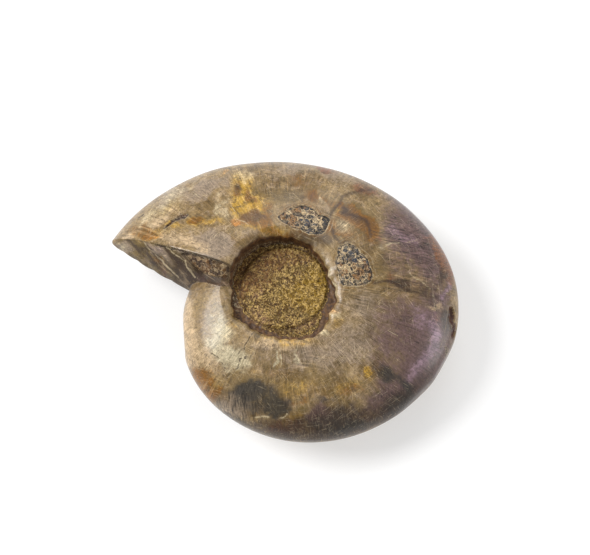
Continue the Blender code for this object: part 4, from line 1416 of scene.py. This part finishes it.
    def umbilicus_wall(self):
        """Sugary grains on the umbilicus' wall, and curls on the ledge where it is widest."""
        look = self.look
        wall = self.ease(self.carried("wall") + 0.8 * self.wobble, 0.35, 0.6)
        (sugar,) = self.cells(self.at, SUGAR_SCALE, "Red")
        sugar = self.ease(swing((0.6, self.grain), start=sugar), 0.3, 0.8)
        colour = self.mix(sugar, look.wall, look.wall_light)
        self.lay(0.94 * wall, self.mix(0.15 * self.carried("wall_dark"), colour, look.umber))
        climb = self.ease(self.carried("climb") + 0.9 * self.wobble, 0.3, 0.55)
        colour = self.mix(self.curls(self.at, *WALL_CURLS), look.wall_light, look.cream)
        colour = self.mix(0.8 * self.curls(self.at, *WALL_DARK_CURLS), colour, look.umber)
        self.lay(0.9 * climb, self.mix(0.7 * self.ease(self.grain, 0.48, 0.58), colour, look.wall))


def crust_material(look):
    """Sugary crystals that fill the umbilicus: fine pale and dark curls over olive and gold."""
    finish = Finish("umbilicus crystals sugar")
    place = finish.place()
    patch, grain = finish.noise(place, *CRUST_PATCH), finish.noise(place, *CRUST_GRAIN)
    (sparkle,) = finish.cells(place, SPARKLE_SCALE, "Red")
    wobble = swing((0.6, patch), (0.6, grain))
    finish.colour = look.crust
    finish.lay(finish.ease(patch, 0.38, 0.62), look.crust_deep)
    finish.lay(finish.ease(finish.carried("gold") * (1 + 2 * wobble), 0.15, 0.8), look.crust_gold)
    finish.lay(0.8 * finish.ease(finish.carried("pink") * (1 + 2 * wobble), 0.2, 0.8), look.crust_pink)
    # painted shade on the upper left of the crystals, under the umbilicus wall; pale grains are dimmed there
    # as well
    shade = finish.ease(finish.carried("shade") * (1 + 1.6 * wobble), 0.15, 0.85)
    finish.lay(0.8 * shade, look.crust_shade)
    light = 1 - 0.4 * shade
    finish.lay(0.5 * light * finish.ease(sparkle, 0.88, 0.93), look.crust_light)
    finish.lay(0.5 * finish.ease(1 - sparkle, 0.86, 0.92), look.crust_dark)
    finish.lay(0.5 * finish.ease(1 - grain, 0.52, 0.62), look.crust_dark)
    finish.lay(0.92 * finish.curls(place, *CRUST_DARK_CURLS), look.crust_dark)
    bare = finish.ease(finish.noise(place, *CRUST_BARE), 0.42, 0.52)
    glint = finish.curls(finish.spun(place, CRUST_LIGHT_TURN), *CRUST_LIGHT_CURLS)
    finish.lay(0.8 * light * glint * bare, look.crust_light)
    # painted shade: the low places between the grains darkened
    finish.lay(0.35 * finish.ease(finish.carried("deep"), 0.5, 0.95), look.crust_dark)
    seam = swing((0.9, grain), start=finish.carried("seam"))
    finish.lay(0.6 * finish.fade(seam, 0.05, 0.4), look.crust_dark)
    return finish.set(
        base_color=finish.colour,
        roughness=0.34 + 0.25 * grain,
        coat_weight=0.03,
        coat_roughness=0.2,
        specular_ior_level=0.2,
        normal=finish.bump(grain, 0.2, 0.8),
    )


def pocket_material(name, look, tones, dark, pale):
    """Crystals of a window: curled pale outlines round dark and coloured grains."""
    finish = Finish(name)
    place = finish.place()
    patch, grain = finish.noise(place, *WINDOW_PATCH), finish.noise(place, *WINDOW_GRAIN)
    bent = finish.bent(place, *FACET_BEND)
    hue, facet = finish.cells(bent, FACET_SCALE, "Green", "Red")
    apart = finish.edges(bent, FACET_SCALE)
    run = swing((0.9, patch), start=finish.carried("run"))
    finish.colour = tones[0]
    finish.lay(finish.ease(run, 0.36, 0.54), tones[1])
    finish.lay(finish.ease(run, 0.7, 0.84), tones[2])
    finish.lay(0.5 * finish.ease(hue, 0.8, 0.86), look.glass_tan)
    finish.lay(0.7 * pale * finish.ease(1 - hue, 0.84, 0.9), look.glass_pale)
    finish.lay(0.92 * finish.ease(facet, 0.6, 0.66), dark)
    finish.lay(0.9 * pale * finish.ease(1 - facet, 0.8, 0.86), look.glass_light)
    ring = finish.ease(apart, 0.05, 0.1) * finish.fade(apart, 0.16, 0.34)
    finish.lay((0.3 + 0.5 * pale) * ring, dark)
    outline = finish.fade(swing((0.4, grain), start=apart), 0.02, 0.1) * finish.ease(patch, 0.48, 0.54)
    finish.lay(0.9 * pale * outline, look.glass_light)
    finish.lay(0.5 * pale * finish.curls(place, *WINDOW_CURLS), look.glass_light)
    finish.lay(0.5 * finish.ease(1 - grain, 0.52, 0.62), dark)
    edge = swing((0.5, grain), start=finish.carried("edge"))
    finish.lay(0.6 * finish.fade(edge, 0.4, 0.7), dark)
    border = finish.fade(edge, 0.08, 0.26) * finish.ease(patch, 0.42, 0.52)
    finish.lay(0.8 * pale * border, look.glass_light)
    return finish.set(
        base_color=finish.colour,
        roughness=0.2 + 0.3 * grain,
        coat_weight=0.15,
        coat_roughness=0.1,
        specular_ior_level=0.4,
        normal=finish.bump(grain, 0.16, 0.7),
    )


# --- Settings ---


class AmmoniteShellSettings(bpy.types.PropertyGroup):
    striae: length_property("Growth striae", "Depth of the fine growth lines", 0.07, precision=5)
    base: colour_property("Stone", "Main colour of the polished stone", rgb(143, 119, 80))
    base_deep: colour_property("Stone clouds", "Darker clouds in the stone", rgb(106, 82, 45))
    cream: colour_property("Cream", "Palest shell layers, flecks and scratches", rgb(196, 178, 142))
    peach: colour_property("Peach", "Pinkish pale shell", rgb(176, 151, 117))
    gold: colour_property("Gold", "Golden iridescent shell", rgb(170, 132, 44))
    ochre: colour_property("Ochre", "Brown-yellow stains", rgb(116, 76, 16))
    orange: colour_property("Orange", "Orange lines at the shell's edges", rgb(180, 118, 44))
    rust: colour_property("Rust", "Reddish rims", rgb(114, 70, 38))
    # umber also paints shade along the bottom edge and over the stone face behind the lip
    umber: colour_property("Umber", "Dark brown stains", rgb(54, 37, 24))
    olive: colour_property("Olive", "Olive stone", rgb(100, 80, 38))
    grey: colour_property("Grey", "Grey-mauve clouds", rgb(136, 118, 98))
    mauve: colour_property("Mauve", "Purplish flank", rgb(94, 73, 70))
    # partly violet shell, partly a painted highlight on the lower right flank
    lavender_and_highlight: colour_property("Lavender", "Pale violet sheen", rgb(144, 118, 130))
    # partly pearly shell, partly a painted highlight on the lower left flank
    pearl_and_highlight: colour_property("Pearl", "Silvery shell", rgb(178, 165, 134))
    charcoal: colour_property("Charcoal", "Blue-black smudges", rgb(46, 42, 36))
    vein: colour_property("Veins", "Brown lines between layers", rgb(52, 32, 18))
    crack: colour_property("Cracks", "Open cracks", rgb(46, 30, 22))
    chip: colour_property("Chips", "Stone bared by the chips", rgb(70, 36, 30))
    wall: colour_property("Umbilicus ledge", "Grains of the umbilicus ledge", rgb(62, 38, 22))
    wall_light: colour_property("Umbilicus ledge light", "Paler grains there", rgb(98, 66, 34))


class AmmoniteCrystalSettings(bpy.types.PropertyGroup):
    crust_grain: length_property("Umbilicus grain", "Width of the crystals in the umbilicus", 0.72, 0.3)
    crust_relief: length_property("Umbilicus relief", "How far the crystals in the umbilicus stand out", 0.3)
    pocket_grain: length_property("Window grain", "Width of the crystals in the windows", 0.9, 0.3)
    pocket_relief: length_property("Window relief", "How far the crystals in the windows stand out", 0.22)
    crust: colour_property("Umbilicus", "Main colour of the umbilicus crystals", rgb(112, 90, 42))
    crust_deep: colour_property("Umbilicus clouds", "Browner clouds", rgb(88, 60, 22))
    # colour of the painted shade on the upper left of the umbilicus crystals; also a middle tone of the lip
    # crystals
    crust_shade: colour_property("Umbilicus shade", "Brown side of the umbilicus", rgb(112, 76, 40))
    crust_gold: colour_property("Umbilicus gold", "Bright side of the umbilicus", rgb(136, 106, 30))
    crust_pink: colour_property("Umbilicus pink", "Pinkish grey grains", rgb(150, 115, 84))
    crust_light: colour_property("Umbilicus light", "Pale grains", rgb(208, 174, 104))
    crust_dark: colour_property("Umbilicus dark", "Dark grains and the gaps between", rgb(50, 29, 9))
    glass_light: colour_property("Window light", "Pale crystals", rgb(218, 190, 146))
    glass_dark: colour_property("Window dark", "Dark crystals", rgb(20, 16, 16))
    glass_tan: colour_property("Window tan", "Tan crystals", rgb(150, 106, 56))
    glass_blue: colour_property("Window blue", "Blue-grey crystals", rgb(62, 68, 78))
    glass_pale: colour_property("Window pale", "Pale grey-blue crystals", rgb(138, 126, 104))


class AmmoniteStageSettings(bpy.types.PropertyGroup):
    floor: colour_property("Floor", "Colour of the floor", (0.55, 0.55, 0.55))
    floor_glow: strength_property("Floor glow", "Light that the floor gives, as a light table does", 0.47)
    sky_strength: strength_property("Surrounding light", "Even light from all round", 0.42)
    key_strength: strength_property("Main light", "Soft light from the left", 3.1)
    fill_strength: strength_property("Side light", "Weaker light from the right", 1.1)
    back_strength: strength_property("Back light", "Weak light from behind", 0.7)
    light_softness: bpy.props.FloatProperty(
        name="Softness of the lights",
        description="Apparent size of the lights",
        default=math.radians(34),
        subtype="ANGLE",
    )
    floor_width: bpy.props.FloatProperty(
        name="Floor width", description="Width of the floor", default=3.0, min=0.5, unit="LENGTH"
    )


# --- Operators ---


class AMMONITE_OT_shell(bpy.types.Operator):
    """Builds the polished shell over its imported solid"""

    bl_idname = "ammonite.shell"
    bl_label = "Build Shell"

    def execute(self, context):
        look = context.scene.ammonite_shell
        across = np.linspace(0, 1, FACE_STEPS + 2)[1:-1]
        stations = np.linspace(0, 1, GROWTH_STEPS + 1)
        halves = []
        for side, steps in ((1, FLANK_STEPS), (-1, FLANK_STEPS_UNDER)):
            rows = section_rows(steps)
            start = np.array([[face_advance(kind, share)] for kind, share in rows])
            end = np.array([[lip_growth(kind, share, side)] for kind, share in rows])
            growth = start + (end - start) * stations
            outer = ground(half_section(rows, growth, LIP_ANGLE + growth, side), growth)
            advance = end + (360 + start - end) * across
            points = np.concatenate([outer, face_rows(rows, across, side)], axis=1)
            halves.append((rows, points, np.concatenate([growth, advance], axis=1)))
        (upper_rows, *upper_half), (lower_rows, *lower_half) = halves
        points, growth = (whole_section(*pair) for pair in zip(upper_half, lower_half))
        rows = upper_rows + lower_rows[-2::-1]
        on_face = np.zeros(points.shape[:2], bool)
        on_face[:, GROWTH_STEPS + 1 :] = True
        flank = np.array([kind in ("flank", "shoulder") for kind, share in rows])[:, None]
        upper = np.zeros(points.shape[:2], bool)
        upper[: len(upper_rows)] = True

        plain = points.copy()
        normals = outward(points)
        for row, (kind, share) in enumerate(rows):
            if kind == "ledge":
                x, y = points[row, :, 0], points[row, :, 1]
                lumps = grains(x, y, LEDGE_GRAIN, LEDGE_SEED) - LEDGE_GRAIN_SINK
                side = 1 if row < len(upper_rows) else -1
                points[row, :, 2] += side * LEDGE_RELIEF * lumps * (1 - share**6)
        sunk = np.where((flank & ~on_face)[..., None], sink_chips(points, normals), points)
        sinking = np.linalg.norm(sunk - points, axis=-1)
        points = sink_windows(sunk, upper & flank & ~on_face)

        values = self.paint(plain, growth, rows, on_face, upper, flank)
        values["chip"] = smooth(sinking / CHIP_FADE)
        body = points[1:-1].reshape(-1, 3)
        corners = np.concatenate([[points[0].mean(axis=0)], body, [points[-1].mean(axis=0)]])
        kept = {}
        for label, numbers in values.items():
            flat = numbers[1:-1].reshape(-1, *numbers.shape[2:])
            kept[label] = np.concatenate([numbers[0, :1], flat, numbers[-1, :1]])
        faces = coil_faces(len(rows) - 2, points.shape[1])
        finish = ShellFinish(look)
        piece = mesh_piece("fossil_shell", corners, faces, finish.material, kept, SHARP_ANGLE)
        stand_for(piece, "ammonite")
        return {"FINISHED"}

    def paint(self, points, growth, rows, on_face, upper, flank):
        """Stains, lines and places, kept on the corners."""
        under = 1 - smooth((points[..., 2] - UNDER_LEVEL) / UNDER_FADE)
        line_x, line_y = wandering(*paint_plane(points, False), LINE_WANDER, LINE_SEED)
        top_x, top_y = wandering(*paint_plane(points, False), STAIN_WANDER, STAIN_SEED)
        low_x, low_y = wandering(*paint_plane(points, True), STAIN_WANDER, UNDER_STAIN_SEED)
        values = {}
        for label, stains in STAINS.items():
            top = stained(stains, top_x, top_y)
            low = stained(stains, low_x, low_y)
            face = stained(FACE_STAINS.get(label, {}), top_x, top_y)
            values[label] = np.where(on_face, face, top + (low - top) * under)
        for label, lines in LINES.items():
            top = line_distance(lines, line_x, line_y)
            face = line_distance(FACE_LINES[label], line_x, line_y)
            top = np.where(under > LINES_END, LINE_REACH, top)
            values[label] = np.where(on_face, face, top)
        rim = np.full_like(top_x, LINE_REACH)
        for outline in POCKETS.values():
            share, reach, _ = window_place(outline, points[..., 0], points[..., 1])
            away = np.where(share > 1, (share - 1) * reach, LINE_REACH)
            rim = np.where(upper, np.minimum(rim, away), rim)
        values["rim"] = rim
        turn = np.arctan2(points[..., 1], points[..., 0]) - math.radians(WALL_DARK_ANGLE)
        dark_side = smooth((np.cos(turn) - WALL_DARK_FROM) / WALL_DARK_FADE)
        wall = []
        for (kind, share), side in zip(rows, dark_side):
            reach = {"floor": 0, "ledge": 0, "shoulder": share, "flank": 2.0}[kind]
            wall.append(1 - reach * (WALL_NARROWING - WALL_SPREAD * side))
        values["wall"] = np.clip(np.array(wall), -0.5, 1)
        values["wall_dark"] = dark_side
        ledge = np.array([kind == "ledge" for kind, share in rows])[:, None]
        values["climb"] = np.where(ledge, 1.0, 0.0) * dark_side
        values["face"] = np.where(on_face & flank, 1.0, 0.0)
        radius = np.hypot(points[..., 0], points[..., 1])
        values["coil"] = np.stack([growth, radius, points[..., 2]], axis=-1)
        return values


class AMMONITE_OT_crusts(bpy.types.Operator):
    """Builds the crystal crusts that fill the umbilicus of either flank"""

    bl_idname = "ammonite.crusts"
    bl_label = "Build Umbilicus Crystals"

    def execute(self, context):
        look = context.scene.ammonite_crystals
        material = crust_material(look)
        for node, side, cells in (
            ("umbilicus_crust", 1, CRUST_CELLS),
            ("umbilicus_crust_underside", -1, CRUST_CELLS_UNDER),
        ):
            piece = self.crust(look, side, cells, material)
            stand_for(piece, node)
        return {"FINISHED"}

    def crust(self, look, side, cells, material):
        """The crystals of one flank, a step lower round their inner cake."""
        angle, share = disc_grid(cells)
        x, y = turned(angle, share * crust_radius(angle, side))
        relief = grains(x, y, look.crust_grain / MM, CRUST_SEED + side)
        coarse = grains(x + COARSE_SHIFT, y, COARSE_GRAIN * look.crust_grain / MM, COARSE_SEED + side)
        reach = INNER_CAKE_RADIUS - np.hypot(x - INNER_CAKE_MIDDLE[0], y - INNER_CAKE_MIDDLE[1])
        step = INNER_CAKE_STEP * (smooth(reach / INNER_CAKE_RAMP) - 1)
        rise = look.crust_relief / MM * (relief + COARSE_SHARE * coarse)
        top = CRUST_LEVEL + CRUST_SLOPE * x + step + rise
        points = np.stack([x, y, side * top], axis=1)
        base = np.stack([x, y, 0 * x + side * (HOLLOW_FLOOR + GAP)], axis=1)
        paint_x, paint_y = paint_plane(points, side < 0)
        values = {label: stained(stains, paint_x, paint_y) for label, stains in CRUST_STAINS.items()}
        # low places between the grains, which the crust's finish darkens as painted shade
        values["deep"] = np.clip(0.2 - relief - 0.5 * coarse, 0, 1)
        values["seam"] = np.abs(reach)
        name = "umbilicus_crystals_top" if side > 0 else "umbilicus_crystals_under"
        return crystal_piece(name, points, base, cells, side > 0, material, values, CRUST_SHARP_ANGLE)


class AMMONITE_OT_pockets(bpy.types.Operator):
    """Builds the crystals in the windows of the flank and in the hollow of the lip's face"""

    bl_idname = "ammonite.pockets"
    bl_label = "Build Window Crystals"

    def execute(self, context):
        look = context.scene.ammonite_crystals
        tones = {
            "outer": (look.glass_tan, look.glass_blue, look.glass_dark),
            "inner": (look.glass_blue, look.glass_tan, look.glass_pale),
            "lip": (look.crust_deep, look.crust_shade, look.crust_deep),
        }
        for number, (node, outline) in enumerate(POCKETS.items()):
            which = node.rpartition("_")[2]
            material = pocket_material(f"window crystals {which}", look, tones[which], look.glass_dark, 1.0)
            seed = WINDOW_SEED + number
            piece = self.window(look, f"window_crystals_{which}", outline, which == "inner", material, seed)
            stand_for(piece, node)
        material = pocket_material("lip crystals", look, tones["lip"], look.crust_dark, 0.5)
        stand_for(self.lip(look, material), "crystal_pocket_lip")
        return {"FINISHED"}

    def window(self, look, name, outline, downward, material, seed):
        """The crystals of one window, whose colours run across it, or down it when downward is set."""
        angle, share = disc_grid(POCKET_CELLS)
        middle = np.array(outline).mean(axis=0)
        reach = window_place(outline, *(middle[:, None] + np.array(turned(angle, 1.0))))[1]
        x, y = turned(angle, share * reach)
        x, y = x + middle[0], y + middle[1]
        relief = grains(x, y, look.pocket_grain / MM, seed) - WINDOW_GRAIN_SINK
        height = surface_height(x, y)
        top = height - POCKET_SINK + look.pocket_relief / MM * relief * smooth((1 - share) / WINDOW_WALL)
        border_at = share > 0.999
        plane_of = np.column_stack([x, y, np.ones_like(x)])
        plane = np.linalg.lstsq(plane_of[border_at], height[border_at], rcond=None)[0]
        points = np.stack([x, y, top], axis=1)
        base = np.stack([x, y, plane_of @ plane - POCKET_DEPTH], axis=1)
        run = y.max() - y if downward else x - x.min()
        values = {"run": run / run.max(), "edge": (1 - share) * reach}
        return crystal_piece(name, points, base, POCKET_CELLS, True, material, values, POCKET_SHARP_ANGLE)

    def lip(self, look, material):
        """The crystals in the hollow of the stone face."""
        angle, share = disc_grid(LIP_POCKET_CELLS)
        u, v = turned(angle, share)
        round_off = share / np.maximum(squareness(u, v), TINY)
        along = LIP_POCKET_MIDDLE[0] + LIP_POCKET_HALF[0] * u * round_off
        across = LIP_POCKET_MIDDLE[1] + LIP_POCKET_HALF[1] * v * round_off
        relief = grains(along, across * LIP_GRAIN_STRETCH, look.pocket_grain / MM, LIP_SEED)
        back = FACE_RECESS + LIP_POCKET_RECESS - look.pocket_relief / MM * LIP_GRAIN_RISE * relief
        top, base = [], []
        for place, way, deep in zip(along, across, back):
            kind, row = ("flank", place / (VENTER_RADII[-1] - CREST_RADIUS))
            if place < 0:
                kind, row = "shoulder", 1 + place / SHOULDER_LENGTH
            top.append(face_point(kind, row, np.array(way), deep, 1))
            base.append(face_point(kind, row, np.array(way), FACE_RECESS + LIP_POCKET_DEPTH, 1))
        run = (along - along.min()) / (along.max() - along.min())
        values = {"run": run, "edge": (1 - share) * LIP_POCKET_BORDER}
        form = np.array(top), np.array(base), LIP_POCKET_CELLS, False
        return crystal_piece("lip_crystals", *form, material, values, POCKET_SHARP_ANGLE)


class AMMONITE_OT_stage(bpy.types.Operator):
    """Lays the floor, lights it and sets up the camera"""

    bl_idname = "ammonite.stage"
    bl_label = "Set the Stage"

    def execute(self, context):
        look = context.scene.ammonite_stage
        self.floor(look)
        self.light(context.scene, look)
        self.camera(context.scene)
        context.scene.view_settings.view_transform = "Standard"
        return {"FINISHED"}

    def floor(self, look):
        finish = Finish("studio floor")
        mist = finish.noise(finish.place(), *FLOOR_MIST)
        colour = finish.mix(0.03 * mist, look.floor, (0.9, 0.9, 0.9), "MULTIPLY")
        finish.set(base_color=colour, roughness=0.9, specular_ior_level=0.1)
        finish.set(emission_color=(1, 1, 1), emission_strength=look.floor_glow)
        half = look.floor_width / 2
        mesh = bpy.data.meshes.new("studio_floor")
        corners = [(-half, -half, 0), (half, -half, 0), (half, half, 0), (-half, half, 0)]
        mesh.from_pydata(corners, [], [(0, 1, 2, 3)])
        mesh.materials.append(finish.material)
        piece = bpy.data.objects.new("studio_floor", mesh)
        bpy.context.scene.collection.objects.link(piece)

    def light(self, scene, look):
        world = bpy.data.worlds.new("studio")
        world.use_nodes = True
        background = world.node_tree.nodes["Background"]
        background.inputs["Color"].default_value = (1, 1, 1, 1)
        background.inputs["Strength"].default_value = look.sky_strength
        scene.world = world
        for name, strength, toward in (
            ("main_light", look.key_strength, KEY_TOWARD),
            ("side_light", look.fill_strength, FILL_TOWARD),
            ("back_light", look.back_strength, BACK_TOWARD),
        ):
            lamp = bpy.data.lights.new(name, "SUN")
            lamp.energy, lamp.angle = strength, look.light_softness
            holder = bpy.data.objects.new(name, lamp)
            holder.rotation_euler = (lean() @ Vector(toward)).to_track_quat("Z", "Y").to_euler()
            scene.collection.objects.link(holder)

    def camera(self, scene):
        tilt = math.radians(CAMERA_TILT)
        back = Vector((0, -math.sin(tilt), math.cos(tilt)))
        up = Vector((0, math.cos(tilt), math.sin(tilt)))
        right = Vector((1, 0, 0))
        aim = right * (RENDER_WIDTH / 2 - AXIS_X) * PIXEL + up * (AXIS_Y - RENDER_HEIGHT / 2) * PIXEL
        turn = Matrix((right, up, back)).transposed().to_4x4()
        lens = bpy.data.cameras.new("camera")
        lens.sensor_width = SENSOR_WIDTH
        lens.lens = SENSOR_WIDTH / RENDER_WIDTH / (PIXEL / CAMERA_DISTANCE)
        lens.clip_start, lens.clip_end = CLIP_NEAR, CLIP_FAR
        eye = bpy.data.objects.new("camera", lens)
        coil = Matrix.Translation(Vector((*CENTRE, LIFT)) * MM) @ lean().to_4x4()
        eye.matrix_world = coil @ Matrix.Translation(aim + back * CAMERA_DISTANCE) @ turn
        scene.collection.objects.link(eye)
        scene.camera = eye


class AMMONITE_PT_panel(bpy.types.Panel):
    bl_label = "Ammonite"
    bl_idname = "AMMONITE_PT_panel"
    bl_space_type = "VIEW_3D"
    bl_region_type = "UI"
    bl_category = "Ammonite"

    def draw(self, context):
        for group, operators in PANEL_ROWS:
            box = self.layout.box()
            settings = getattr(context.scene, group)
            for name in settings.__annotations__:
                box.prop(settings, name)
            for operator in operators:
                box.operator(operator)


PANEL_ROWS = (
    ("ammonite_shell", ("ammonite.shell",)),
    ("ammonite_crystals", ("ammonite.crusts", "ammonite.pockets")),
    ("ammonite_stage", ("ammonite.stage",)),
)
SETTINGS = {
    "ammonite_shell": AmmoniteShellSettings,
    "ammonite_crystals": AmmoniteCrystalSettings,
    "ammonite_stage": AmmoniteStageSettings,
}
OPERATORS = (AMMONITE_OT_shell, AMMONITE_OT_crusts, AMMONITE_OT_pockets, AMMONITE_OT_stage)


def register():
    for item in (*SETTINGS.values(), *OPERATORS, AMMONITE_PT_panel):
        bpy.utils.register_class(item)
    for name, group in SETTINGS.items():
        setattr(bpy.types.Scene, name, bpy.props.PointerProperty(type=group))


def unregister():
    for name in SETTINGS:
        delattr(bpy.types.Scene, name)
    for item in reversed((*SETTINGS.values(), *OPERATORS, AMMONITE_PT_panel)):
        bpy.utils.unregister_class(item)


def main():
    register()
    bpy.ops.ammonite.stage()
    bpy.ops.ammonite.shell()
    bpy.ops.ammonite.crusts()
    bpy.ops.ammonite.pockets()


if __name__ == "__main__":
    main()
